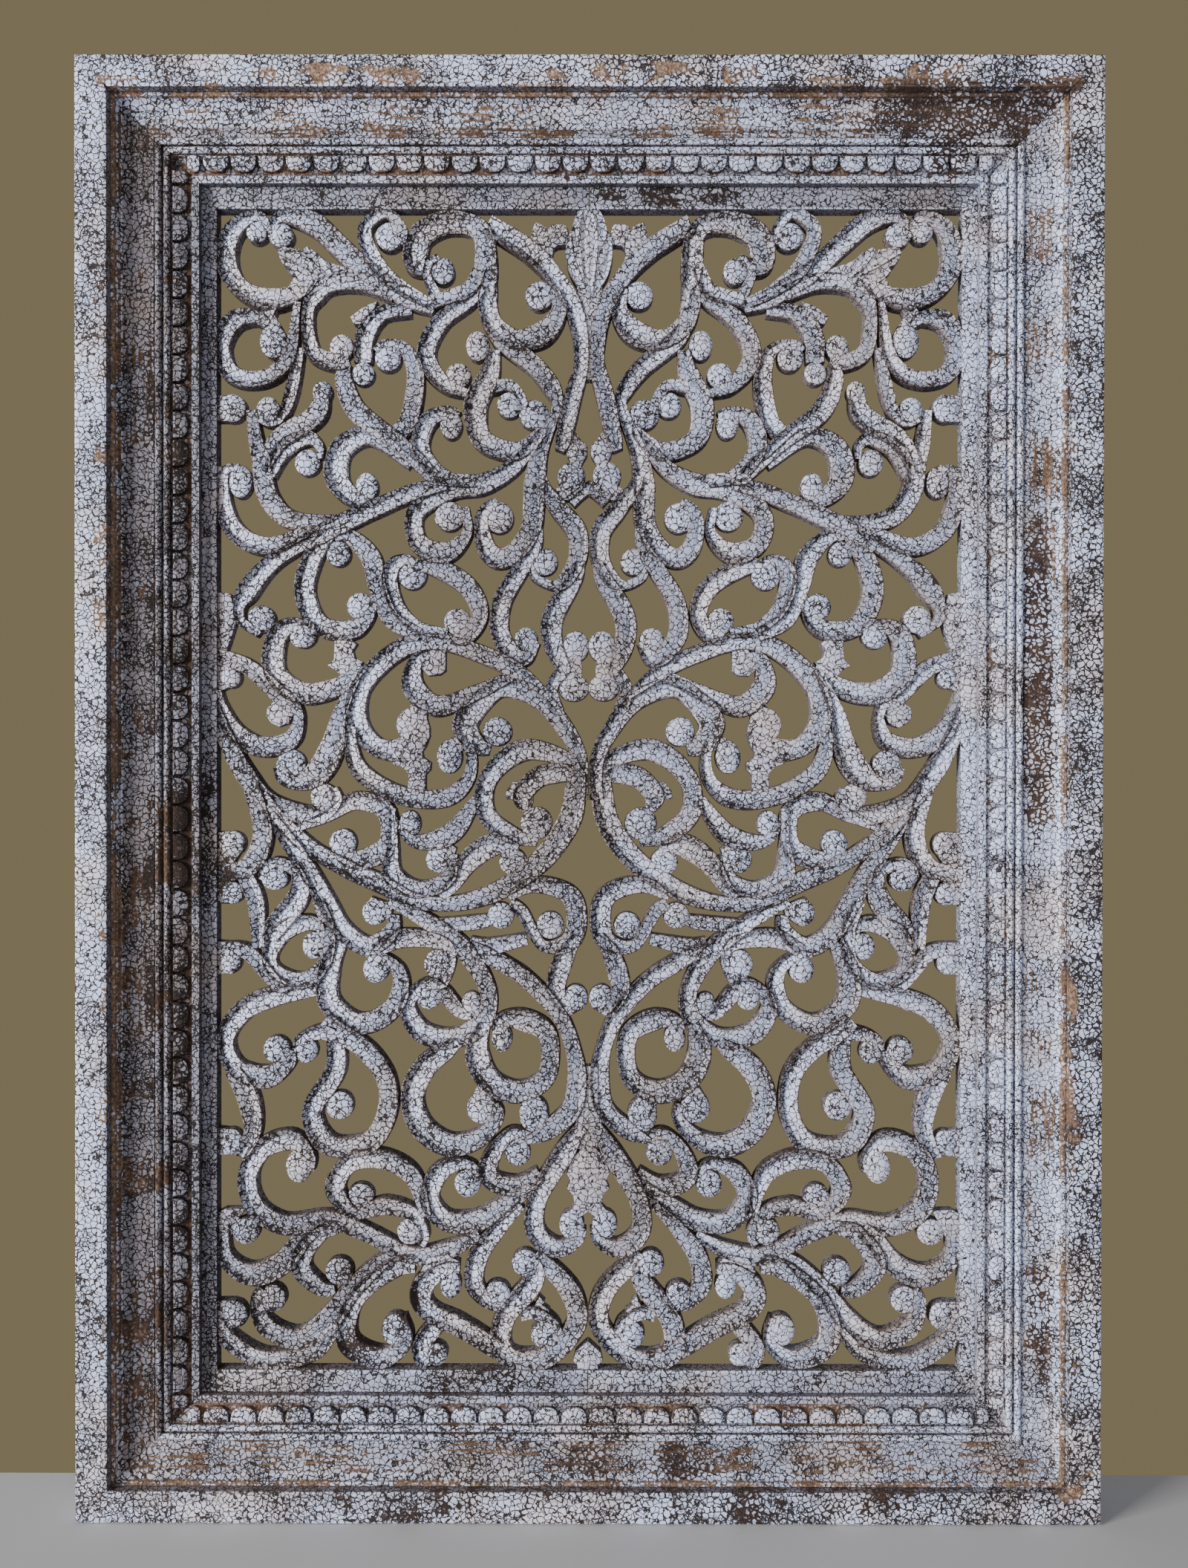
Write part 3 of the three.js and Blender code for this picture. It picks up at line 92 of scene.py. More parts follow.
# The right half of the arabesque. Ribbons: name, side of the crease, then (across, up, width).
RIBBONS: tuple[tuple[str, int, tuple[Drawn, ...]], ...] = (
    ("finial_stem", 1, ((71, 396, 14), (41, 376.5, 14.5), (23.5, 358, 13), (10.5, 336.5, 13),
        (5.5, 300, 11), (11.5, 275, 13), (18.5, 243, 11), (20.5, 238, 7))),
    ("top_inner_curl", -1, ((24, 350, 6), (21.5, 334, 12), (33, 319.5, 17), (51, 315.5, 14.5),
        (67, 326, 14), (71.5, 345, 13.5), (70, 355, 9))),
    ("top_ring", 1, ((67, 338, 5), (67.5, 350, 7), (71, 360, 15), (74, 388, 14.5), (80, 394.5, 14.5),
        (99, 397, 16.5), (118, 387, 18), (121, 369, 17), (112, 361, 6))),
    ("top_ring_foot", -1, ((75.5, 366, 9), (84, 350, 11), (110, 341, 10))),
    ("top_hook", 1, ((74, 350, 5), (83, 342, 9), (103.5, 328, 13), (113.5, 308, 13.5), (112, 297.5, 13.5),
        (99, 282.5, 10), (84, 277, 6))),
    ("top_ring_rim", -1, ((107, 345, 9), (113.5, 361, 6), (111, 368.5, 6), (105, 372, 5))),
    ("inner_stem", -1, ((66, 322, 12), (60, 314.5, 14), (36, 295, 13.5), (24.5, 279, 12), (22.5, 270, 8),
        (34.5, 237, 12.5), (38, 216, 15.5), (40.5, 183, 15), (54.5, 165, 14.5), (64, 163, 15),
        (71.5, 169.5, 14), (75, 190, 10), (71, 198, 8), (64, 202, 6))),
    ("inner_sweep", 1, ((35, 183, 6), (37, 172, 9), (49.5, 152, 12.5), (61, 131.5, 14), (62, 110, 14),
        (52, 94.5, 13), (45, 92.5, 12), (35.5, 104, 5))),
    ("cup_curl", 1, ((65.5, 308, 8), (70, 290, 15.5), (79, 270, 17), (77, 249.5, 15), (70, 242, 14.5),
        (50, 237.5, 13.5), (35, 249, 9), (32, 256, 5))),
    ("cup_arch", 1, ((70, 281, 9), (55, 282.5, 8.5), (45.5, 270, 6), (47, 263, 4))),
    ("snail", 1, ((33, 250, 7), (54, 225.5, 12), (73, 215, 15), (96, 211.5, 16), (121.5, 193, 13.5),
        (118.5, 173, 14.5), (100, 166.5, 15), (85, 180, 8), (86.5, 198, 6))),
    ("snail_fork", -1, ((84, 216.5, 10), (105, 217.5, 9), (113, 216, 8))),
    ("eye_curl", 1, ((90.5, 262, 6), (96, 264.5, 8), (112, 259, 13), (118, 240.5, 13), (107.5, 223.5, 12),
        (99, 219, 10))),
    ("eye_stem", -1, ((149, 307, 5), (144, 312, 5), (129, 309, 9), (121.5, 292, 13), (126.5, 258, 13.5),
        (133, 250, 13))),
    ("cross_stem", -1, ((170, 298, 8), (171.5, 288, 12.5), (162.5, 266, 15), (134, 243.5, 12.5),
        (104, 215, 10))),
    ("wave", 1, ((124, 228, 8), (154, 248, 13), (173.5, 238.5, 16.5), (176, 217, 17), (163, 203.5, 12),
        (156, 202, 8))),
    ("long_branch", 1, ((100, 214, 8), (119, 210, 12), (151, 197, 13), (181, 182, 14), (188, 176, 10))),
    ("side_branch", -1, ((235.5, 266, 8), (232.5, 243, 11), (229, 231, 14), (225, 208, 15),
        (210, 190.5, 14), (178, 188, 10), (168, 192, 7))),
    ("side_hook", 1, ((176, 186, 12), (187, 179.5, 14), (208, 168, 10.5), (226, 155.5, 13.5),
        (240.5, 137.5, 15), (244.5, 129, 9), (244, 120, 7.5), (230.5, 109, 5.5))),
    ("side_eye", 1, ((187.5, 232, 4), (188.5, 241, 7), (195, 246.5, 10), (213, 239.5, 13.5),
        (224, 221, 11))),
    ("drop_branch", -1, ((186, 281, 10), (190, 264, 14.5), (217, 244.5, 14.5), (227, 227, 11))),
    ("drop_rim", 1, ((201.5, 309, 6), (208, 279, 9.5), (214, 262, 7), (218.5, 257.5, 4))),
    ("drop_cup", 1, ((212, 264, 5), (217, 257.5, 5), (224, 256, 4), (230, 259, 4))),
    ("leaf_ring", 1, ((136, 347, 12), (160, 355.5, 13), (183, 353.5, 13), (191.5, 346, 13.5),
        (196, 335.5, 9), (192, 306, 12), (175, 299, 12), (168, 300, 8))),
    ("high_sweep", -1, ((223.5, 386, 4), (222, 393.5, 7), (215, 400.5, 9), (194, 397, 15), (175, 381, 15),
        (157, 364, 15), (127, 344.5, 14), (108, 337, 9))),
    ("high_hook", 1, ((131, 381, 5), (130, 390, 7), (141, 403, 8), (156.5, 393, 10.5), (146.5, 364, 12.5),
        (129, 349.5, 10), (111, 340, 8))),
    ("thorn_stem", 1, ((124, 336, 9), (145, 333, 12), (156.5, 318, 14.5), (158, 299, 13))),
    ("corner_lower", -1, ((203, 341, 5), (212, 299, 11), (229, 287.5, 11.5), (250, 291.5, 13),
        (257.5, 311, 14), (247.5, 328.5, 14), (231, 330, 9), (225, 325, 6))),
    ("corner_link", 1, ((222, 339, 10), (226, 331, 10))),
    ("corner_ring", -1, ((191, 357, 5), (199, 350, 10), (220, 343, 15.5), (241, 349, 13.5), (253, 367, 15),
        (249.5, 390, 14), (233.5, 400.5, 9), (226.5, 397.5, 7), (224, 390, 5))),
    ("knee_outer", -1, ((178, 178, 8), (170, 179, 10), (153, 163.5, 15), (147.5, 141, 13),
        (137.5, 119.5, 13), (118, 109, 10))),
    ("knee_inner", 1, ((120, 159, 6), (128, 161.5, 8), (136, 158, 11), (139.5, 149, 12), (134, 128.5, 11),
        (119, 114.5, 9), (99, 110, 8))),
    ("knee_hook", 1, ((180, 182, 10), (193, 163, 14.5), (199, 140.5, 15), (192, 120, 15),
        (183.5, 113.5, 14.5), (163.5, 113.5, 14), (151.5, 127, 7), (153, 135, 4))),
    ("rail_curl", -1, ((196, 181, 8), (227, 171, 13.5), (247.5, 181.5, 14), (256, 203, 12), (253, 224, 7),
        (244, 225.5, 5))),
    ("heart_curl", -1, ((34, 220, 8), (31.5, 212, 10), (20.5, 197, 13.5), (8.5, 181, 15), (8, 162, 13.5),
        (17.5, 146.5, 11), (25, 143.5, 7), (38, 150, 6), (41, 157, 4))),
    ("heart_tie", 1, ((-3, 214, 9), (6, 208, 9), (13, 202, 10))),
    ("vase_side", 1, ((6, 159, 8), (9.5, 149.5, 12), (25.5, 120.5, 15.5), (24.5, 101, 14), (17, 84, 9))),
    ("vase_foot", 1, ((17, 86, 10), (26, 72.5, 9), (22.5, 56, 11))),
    ("great_arch", 1, ((5.5, -6, 10), (5, 6, 10), (6.5, 24, 11), (17, 44.5, 13), (33.5, 63.5, 14),
        (55, 72.5, 14.5), (66, 70.5, 14.5), (86.5, 46.5, 18.5), (77, 31, 13), (69, 28.5, 8))),
    ("great_hook", -1, ((46, 81, 6), (55, 79.5, 8), (77, 69.5, 11), (108, 59.5, 15.5), (123, 74, 16),
        (120, 92, 10), (113, 96, 9))),
    ("great_branch", 1, ((27, 66, 5), (50, 83.5, 12), (71, 94, 13), (106, 104.5, 12), (127, 101.5, 14),
        (147, 87.5, 14.5), (161, 68.5, 15), (161.5, 46.5, 15.5), (147.5, 30.5, 14.5), (127, 28, 17))),
    ("hip_curl", -1, ((118, 158, 10), (110, 157.5, 13), (84, 142, 14.5), (76.5, 122.5, 12.5),
        (86, 107.5, 11), (95, 107, 10))),
    ("belly_band", -1, ((85, 34, 8), (82, 26, 8), (84, 8.5, 10), (99, -4.5, 14), (132, -3, 13.5),
        (161, 15.5, 13), (166.5, 36, 9), (165, 45, 6))),
    ("blade", -1, ((161, 82, 6), (174, 53, 11), (179, 31, 17), (191, 11, 18), (207, 4.5, 8), (215, 9, 7.5),
        (218.5, 17, 5))),
    ("side_claw", -1, ((205, 60, 8), (202.5, 52, 7.5), (208, 36, 13), (228, 30.5, 15), (247.5, 41, 14),
        (258, 61, 9), (259, 70, 5))),
    ("side_ring", -1, ((158, 86, 8), (176.5, 72, 14), (201.5, 68.5, 16.5), (219.5, 82.5, 16),
        (219, 105.5, 15.5), (212, 114, 13), (195, 115.5, 6), (191.5, 110, 4))),
    ("rail_branch", 0, ((203, 62, 12), (212, 64, 13), (239, 87, 12), (260, 94, 12))),
    ("rail_sweep", -1, ((261, 58, 8), (252.5, 34, 13), (239.5, 10.5, 14.5), (223.5, -7, 13),
        (190, -17, 14), (176, -6, 8), (178, 2, 5))),
    ("hall_ring", -1, ((203, -26, 5), (183, -17.5, 9), (162, -7, 14), (142, -14, 14), (140.5, -35, 13),
        (146.5, -43.5, 16), (165, -48.5, 13), (174, -46, 9))),
    ("hall_hook", 1, ((137, -12, 5), (137, -37, 8), (137, -59, 15), (118.5, -69, 13), (98.5, -61, 11),
        (94, -44, 6))),
    ("long_sweep", -1, ((8, 14, 12), (9, 4, 15), (12.5, -18.5, 16.5), (25.5, -40.5, 16.5), (45, -58.5, 15),
        (69.5, -72.5, 14), (96, -79, 11), (121, -77, 11.5), (144.5, -65.5, 14), (169.5, -54.5, 13),
        (193, -41, 12.5), (214, -23, 12), (229, -3, 9))),
    ("pear_side", 1, ((226, -12, 6), (209.5, -36, 12), (195, -58, 13.5), (183.5, -78, 14),
        (172, -97.5, 14.5), (153.5, -109, 14), (137, -97, 11), (135.5, -87, 8))),
    ("waist_arch", 1, ((8, 14, 8), (14, 21, 11), (42, 29, 15.5), (60.5, 20, 15), (72, 3.5, 13.5),
        (71, -17, 14), (54.5, -30.5, 13), (36, -36, 6))),
    ("waist_leaf", 1, ((9, 10, 10), (17, 12.5, 14), (35, 9.5, 15), (47, -4, 13), (46, -11, 8))),
    ("waist_tail", 1, ((49, -40, 6), (67, -38, 16.5), (84, -49.5, 15.5), (96, -67, 10), (104, -73.5, 8))),
    ("waist_hook", -1, ((78, -6, 8), (98, -31, 15.5), (119.5, -35.5, 10.5), (128, -31.5, 6.5),
        (132.5, -24, 4))),
    ("lily_ring", -1, ((56, -74, 6), (38, -65.5, 12), (16.5, -70.5, 14), (9.5, -79, 15), (9.5, -99.5, 15),
        (15.5, -107, 13), (32, -108, 8.5), (47.5, -83.5, 9.5), (55, -78.5, 9))),
    ("lily_blade", 0, ((66, -88, 6), (73, -91, 10), (104, -94, 10))),
    ("lily_blade_low", 0, ((43.5, -103.5, 9), (72, -109, 12.5), (83, -107.5, 12))),
    ("twin_spiral", -1, ((140, -77, 6), (110, -93, 12.5), (84, -114.5, 14.5), (69.5, -144.5, 12.5),
        (75.5, -163.5, 15), (95.5, -173.5, 14.5), (117.5, -168, 15.5), (126.5, -148.5, 11.5),
        (113.5, -135.5, 10), (104.5, -135, 10), (95.8, -120, 6.5), (96.5, -111, 7))),
    ("twin_spur", -1, ((108, -137, 12), (100.5, -142, 12), (89, -155.5, 9), (82, -158, 4))),
    ("twin_cap", 1, ((96, -112, 7), (101, -107, 10), (130, -103, 14), (150, -112, 9))),
    ("tear_side", -1, ((84, -108, 10), (64, -118.5, 12.5), (43.5, -131.5, 12.5), (19.5, -158.5, 12),
        (10.8, -180, 11.5), (7.8, -202, 14.5), (12, -223, 14.5), (28.5, -238, 13), (43, -245, 5))),
    ("tear_top", 1, ((8, -101, 7), (18, -119, 14.5), (22.5, -139, 13.5), (14, -155, 8))),
    ("bell_side", 1, ((6, -236, 9), (17.5, -254.5, 15), (35.5, -286.5, 14), (36.5, -309, 14),
        (22, -320.5, 13.5), (6.5, -314, 8), (3, -306, 4))),
    ("foot_heart", -1, ((37, -325, 11.5), (12, -351, 15), (7.8, -372.5, 14.5), (30.5, -397.5, 15),
        (52.5, -398, 15), (60.5, -390.5, 16), (58, -369.5, 15), (39, -345.5, 15), (36, -337, 12),
        (38.5, -329.5, 9))),
    ("foot_curl", -1, ((47, -366.5, 10), (38.5, -365, 9.5), (23.5, -373, 7), (20, -380, 5))),
    ("loop_ring", -1, ((64.5, -168, 7), (61.5, -160.5, 9), (45.5, -160.5, 15.5), (29, -170, 14),
        (29.5, -200, 13.5), (48, -211, 16), (69, -203, 17), (78, -183, 17), (73, -163, 9))),
    ("mask_ring", 1, ((92, -176, 8), (99, -181.5, 13), (115, -194.5, 17), (123.5, -215, 17),
        (116, -236.5, 17), (96.5, -248.5, 16.5), (75, -242.5, 13), (62.5, -226.5, 8), (64.5, -218.5, 5))),
    ("cradle", 1, ((38, -243, 8), (54, -240, 8.5), (70.5, -264, 14), (67.5, -273, 14), (50, -277, 14),
        (34, -268, 10))),
    ("cradle_ring", 1, ((79, -271, 4), (79, -264.5, 6), (86, -261, 7.5), (103.5, -267, 14),
        (111.5, -286, 14.5), (99, -301.5, 15), (77, -301, 15), (56.5, -289.5, 13.5), (40, -277, 8))),
    ("foot_hook", 1, ((47, -290, 7), (63, -307, 11), (76.5, -325.5, 14.5), (79.5, -346.5, 14),
        (66.5, -360, 8.5), (59, -359, 6))),
    ("long_base", -1, ((76, -311, 7), (97, -321.5, 12), (121, -326, 13), (155.5, -310, 12.5),
        (179, -301.5, 14), (215, -304, 15), (233.5, -291.5, 15), (238.5, -269.5, 14.5),
        (227.5, -250.5, 15), (207, -245, 14.5), (194, -257.5, 7.5), (194, -266, 5))),
    ("foot_wave", 1, ((90, -334, 8), (99, -334, 9.5), (115.5, -346.5, 15.5), (117, -356.5, 15.5),
        (110.5, -365.5, 14.5), (90, -375.5, 15), (62, -392.5, 14))),
    ("foot_bud", 1, ((106, -374, 13), (117.5, -389.5, 13), (117, -398, 11), (112, -403.5, 9))),
    ("base_hook", 1, ((122, -331, 14), (133, -333, 14), (162.5, -355.5, 13.5), (170, -379, 15.5),
        (165.5, -390, 16), (143, -397.5, 14), (126.5, -384.5, 8), (129, -368, 4))),
    ("base_sweep", -1, ((138, -325, 7), (147, -332, 11.5), (166, -350.5, 14), (183, -372, 16),
        (204.5, -384.5, 14.5), (226, -375, 14), (232.5, -355, 8), (229, -348, 5))),
    ("base_rail", -1, ((177, -378, 7), (192, -393.5, 11.5), (228.5, -398.5, 13.5), (257, -380, 13),
        (262, -372, 14))),
    ("base_eye", 1, ((176, -306, 10), (186, -308.5, 13), (200.5, -326, 15), (200.5, -336.5, 14.5),
        (185.5, -349.5, 11), (177.5, -349, 7))),
    ("base_swan", -1, ((192, -307, 12), (200, -313.5, 14), (215, -332, 16), (237, -339.5, 16),
        (254.5, -327, 12), (257, -304, 12))),
    ("pear_ring", -1, ((156, -114, 4), (147, -114.5, 6), (132, -127.5, 11), (134.5, -149, 14),
        (153, -162.5, 15), (164.5, -162, 15), (181.5, -147.5, 16), (182, -125.5, 15.5), (174, -106, 11))),
    ("harp_ring", 1, ((186.5, -103, 4), (188, -95.5, 8), (196, -92.5, 12), (215.5, -99.5, 15),
        (223.5, -117.5, 11), (219.5, -126.5, 11), (200.5, -133, 12), (184.5, -120, 10), (182, -98, 10),
        (189, -77, 9))),
    ("harp_neck", 1, ((203, -58, 9), (201.5, -68, 14), (205, -78, 16), (219, -95, 16), (223, -104, 12))),
    ("rail_bow", 1, ((189, -138, 10), (199, -141, 9.5), (221, -144.5, 14.5), (242.5, -154.5, 15.5),
        (254.5, -174.5, 13), (247, -194, 14), (226, -201, 16.5), (209.5, -190, 10), (206.5, -182, 5))),
    ("rail_strap", 0, ((260, -109.5, 9), (239.5, -112.5, 11), (219, -134.5, 10), (211, -139, 8))),
    ("rail_stem", 0, ((240.5, -58, 12), (233, -77, 13), (231, -110, 9))),
    ("rail_elbow", -1, ((236, 4, 12), (227.8, -31, 14.5), (235.5, -51, 15), (245, -56, 13),
        (262.5, -57, 15))),
    ("harp_eye", 1, ((202, -66, 8), (204, -56.5, 9), (219.5, -50, 8), (226.5, -55, 6.5), (229, -62, 4))),
    ("drum", -1, ((184, -160, 12), (175, -168, 14), (155.5, -182, 14), (142, -201.5, 14),
        (140.8, -225.5, 14.5), (152, -245.5, 15), (174.5, -250, 14.5), (185.5, -245, 15.5),
        (193.5, -225, 14.5), (177, -195, 15), (177, -173, 13))),
    ("drum_cap", 1, ((178, -172, 10), (186, -169, 11), (202, -174, 7.5), (205, -181, 5))),
    ("rail_low", 0, ((249, -196, 12), (238.5, -215.5, 16), (235, -238, 13), (244, -257, 9))),
    ("lyre_arch", 1, ((113, -298, 8), (124.5, -268.5, 13), (145, -258, 14), (167, -261, 13.5),
        (177.5, -279, 14.5), (164.5, -295.5, 10), (142, -291, 12.5), (121.5, -297, 9.5), (114, -312, 6),
        (117, -318, 5))),
)

# Knobs at the ends of the scrolls: (across, up, half width, half height).
KNOBS: tuple[tuple[float, float, float, float], ...] = (
    (34.8, 346, 10, 10), (102.3, 363, 8.5, 9.5), (91.5, 290, 9, 9), (78, 311, 8.5, 10.5),
    (55.5, 269.5, 9, 9), (38.5, 263, 10.5, 10.5), (63, 191, 10.5, 11), (97.5, 192, 10.5, 10.5),
    (96.5, 256, 8, 10), (140.5, 302.5, 9.5, 9.5), (158, 291.5, 8, 8), (155.5, 212.5, 8, 10),
    (173, 310, 8.5, 9), (186.5, 279, 7, 7.5), (224.5, 265.5, 8.5, 9.5), (139.5, 387, 10, 10),
    (215.5, 388, 9, 8.5), (232, 390.5, 8, 8), (221, 314, 9.5, 12), (249.5, 267.5, 10, 10),
    (197, 229.5, 9, 9.5), (175.5, 166, 8.5, 9), (244, 216, 8.5, 11.5), (124, 151.5, 10.5, 11),
    (229.5, 120, 10, 10), (160, 129, 9.5, 9.5), (12.5, 220, 10, 10), (8.5, 237, 7.5, 8),
    (31.5, 160, 9.8, 9.5), (9.3, 101, 9.8, 11), (10.5, 72, 10.9, 9.5), (44, 106, 8.5, 8.5),
    (64, 41.5, 10.5, 10.5), (92, 118.5, 9.5, 9.5), (97.5, 24, 9, 12), (208.5, 18.5, 10.5, 10.5),
    (200, 108.5, 9.5, 9), (251, 79, 7.5, 7.5), (185.5, -4, 9.5, 9.5), (172, -36.5, 9.5, 10),
    (104.5, -48, 10, 9.5), (36.5, -22.5, 11.5, 11.5), (53, -49.5, 9.8, 9.8), (125.5, -23, 8, 9.5),
    (27, -94, 9.7, 9.7), (61.5, -87, 9.3, 9.3), (149.5, -85, 9, 9.5), (9, -145, 8.8, 9.8),
    (105.5, -121.5, 10, 10.5), (82, -149.5, 7.5, 9), (111.5, -145, 8.5, 8), (60.5, -173, 7.5, 10),
    (38, -226.5, 10.5, 13), (75, -222, 10.3, 11), (49.5, -253.5, 9.3, 9.3), (84.5, -275, 9.3, 9.8),
    (11.5, -304, 9, 10.5), (44, -331, 9.5, 9.5), (30, -381, 10, 10), (63.5, -353, 9.5, 9.5),
    (96.5, -346.5, 7.5, 9.5), (106.5, -395, 8.2, 8.2), (134.5, -378, 10.5, 11.5), (221.5, -356, 9.7, 9.7),
    (247, -367.5, 8.5, 9.5), (174.5, -337, 10, 9.7), (240, -308.5, 9.5, 9.5), (149, -124.5, 9.3, 10),
    (192.5, -108.5, 8, 9.5), (218.5, -181.5, 9.8, 9.8), (198, -182, 8.5, 9), (251, -119.5, 7.5, 9),
    (249.5, -37, 9, 9), (250, -71.5, 8.3, 8.3), (219.5, -61.5, 9.5, 8.3), (174.5, -220.5, 10.2, 10.2),
    (250, -246, 8.5, 9.5), (203, -263, 9, 12), (159.5, -284, 9.5, 8.8), (125, -308.5, 9.5, 9.5),
)

# Leaves, lobes and webs: name, then (across, up) at each corner.
LEAVES: tuple[tuple[str, tuple[Point, ...]], ...] = (
    ("finial_leaf", ((-2, 408), (7, 408), (8.5, 400), (11, 394), (14.3, 388.5), (16, 382), (14.5, 377.5),
        (13.5, 373.5), (16, 369.5), (15, 365), (11, 357), (6, 349), (-2, 340))),
    ("tulip_lobes", ((15.6, 381), (14.8, 392), (17.5, 395.5), (26.8, 395.3), (29.3, 391), (30.8, 394.5),
        (38, 397.3), (40, 391), (41, 386), (46, 384), (34, 366), (23, 366), (25.5, 374.3), (24.6, 378.8),
        (21.9, 380.5), (18, 380.8))),
    ("spray_leaf", ((158, 357), (165, 363), (170, 365.5), (180, 368.5), (185, 371), (190.5, 376),
        (195, 377.8), (199.5, 376.5), (202, 378), (208.5, 379), (213.5, 380), (217.3, 378), (216.5, 371.5),
        (213.5, 367), (208.5, 365.3), (207, 361.5), (206.6, 358.5), (209, 354), (212, 349), (200, 343),
        (190, 349), (180, 353))),
    ("thorn", ((148, 342), (157, 339), (163.5, 334), (167.3, 331), (164.5, 326), (155, 326))),
    ("corner_neck", ((215, 324), (221, 334), (231, 335), (232, 325))),
    ("heart_base", ((1, 215), (6, 209), (14, 203), (22, 204), (24, 211), (19, 214), (8, 214))),
    ("heart_neck", ((1, 241), (5, 245), (10, 252), (18, 248), (17, 238), (14, 232), (13.5, 226), (6, 226),
        (2, 234))),
    ("vase_body", ((6, 94), (4.5, 87), (5, 76), (8, 70), (20, 74), (23, 84), (26, 92), (18, 98))),
    ("claw_great", ((100, 99), (100, 84), (104, 81), (112, 80.3), (117.3, 85), (117, 92), (110, 100))),
    ("clover", ((113, 50.5), (111.2, 44.3), (111.2, 38), (113.9, 31), (116.5, 27.3), (115.6, 23.7),
        (110.3, 20), (110.7, 14.8), (113.9, 11.2), (114, -2), (127, -2), (126, 12), (131, 17), (137, 19),
        (137, 36), (131, 37.5), (133.5, 40.7), (134.8, 46), (133.5, 51.4), (129.9, 56), (124.6, 58.5),
        (124, 64), (114, 64), (113.5, 56))),
    ("claw_side", ((204, 65), (206, 55), (210, 47), (217, 44.5), (223, 47.5), (226, 52), (225.5, 58),
        (221, 62.5), (212, 66))),
    ("cross_leaf", ((162, 103), (168, 108), (178, 107), (178.5, 92), (183, 87.5), (177, 84), (172, 78),
        (163, 82), (158, 90), (163.7, 93.5), (165, 98))),
    ("rail_slab", ((262, 140), (251, 138), (248.5, 129), (247, 117), (250, 107), (253, 98), (257, 94),
        (262, 94))),
    ("knob_slab_a", ((250, 87), (262, 90), (262, 70), (256, 70), (252, 72))),
    ("knob_slab_b", ((250, -28.5), (262, -28.5), (262, -54), (248, -50), (244, -44))),
    ("knob_slab_c", ((250, -62), (262, -58), (262, -79), (252, -79.5))),
    ("knob_slab_d", ((250, -112), (262, -108), (262, -129), (252, -128))),
    ("knob_slab_e", ((250, -237), (262, -236), (262, -256), (250, -255))),
    ("knob_slab_f", ((247, -357.5), (262, -357.5), (262, -388), (250, -378))),
    ("knob_slab_g", ((240, -293), (255, -293), (262, -297), (262, -312), (250, -312), (246, -302))),
    ("knob_slab_h", ((252, 226), (262, 228), (262, 186), (256, 200))),
    ("knob_slab_i", ((250, 277), (262, 276), (262, 258), (250, 258))),
    ("neck_a", ((90, 40), (97, 37), (97, 28), (87, 28))),
    ("neck_b", ((44, 6), (53, 6.5), (58, 0), (58.7, -5.8), (53, -6), (49.5, -12.3), (46.5, -15),
        (40.5, -12.5), (39, -8), (39, 2))),
    ("neck_c", ((92, -40), (98, -36), (112, -38), (113, -46), (94, -46))),
    ("neck_d", ((136, -80), (152, -74), (156, -80), (145, -93), (138, -88))),
    ("neck_e", ((5, -151), (16, -149), (20, -153), (19, -158), (14, -158.5), (8, -155))),
    ("centre_bar", ((-2, -192), (7, -193), (7.5, -225), (10, -235), (9.5, -245), (7, -251), (-2, -249))),
    ("bell_leaf", ((-2, -246), (5, -250), (12, -258), (15, -268), (12.5, -273), (14.8, -278.5),
        (10.5, -283.5), (9.5, -290), (14, -295), (4, -298), (-2, -293))),
    ("neck_f", ((33, -217), (36, -210), (46, -214), (48, -221), (30, -221))),
    ("neck_g", ((43, -241), (53, -241), (54, -248), (42, -249))),
    ("neck_h", ((68, -209), (77, -205), (82, -214), (68, -214))),
    ("foot_fringe", ((34, -354), (30, -358), (32, -360), (26.5, -364), (30, -369), (38, -362))),
    ("base_fill", ((90, -330), (98, -325), (112, -327), (118, -337), (100, -337), (90, -338))),
    ("bottom_bud", ((-2, -384), (3, -388), (9, -393.5), (10.5, -400), (7.5, -403), (7, -408), (-2, -408))),
    ("finial_web", ((-2, 352), (9, 354), (9, 338), (6, 322), (5, 305), (4, 293), (1.5, 287), (-2, 287))),
)

# Lobes of the spray leaf and the finial, drawn as the ribbons are.
LOBES: tuple[tuple[str, int, tuple[Drawn, ...]], ...] = (
    ("spray_upper", 0, ((180, 359, 5), (187, 366, 8.5), (193, 372.5, 7.5), (198, 378, 3))),
    ("spray_middle", 0, ((188, 361, 5), (199, 368, 8), (208, 373.5, 8.5), (216.5, 376.5, 4))),
    ("spray_lower", 0, ((184, 354, 5), (194, 356.5, 8), (202, 359.5, 8.5), (209.5, 364, 4))),
    ("finial_middle", 0, ((0, 405, 3), (0, 394, 11), (0, 378, 13), (0, 360, 9), (0, 343, 4))),
    ("finial_side", 0, ((5, 350, 4), (10, 361, 7), (13.5, 374, 6), (14, 386, 3))),
    ("finial_upper", 0, ((7, 380, 4), (9.5, 388, 6), (8.5, 397, 5), (5.5, 405, 3))),
)

DRAWN_HALF_WIDTH = 259.5
DRAWN_HALF_HEIGHT = 405.0


class Side(Enum):
    """One side of the frame, with the turn that brings the top length to it."""

    TOP = 0.0
    LEFT = 90.0
    BOTTOM = 180.0
    RIGHT = -90.0

    @property
    def word(self) -> str:
        """The side's name as the nodes have it."""
        return self.name.lower()

    @property
    def label(self) -> str:
        """The side's name as the finishes' places have it."""
        return self.name.capitalize()


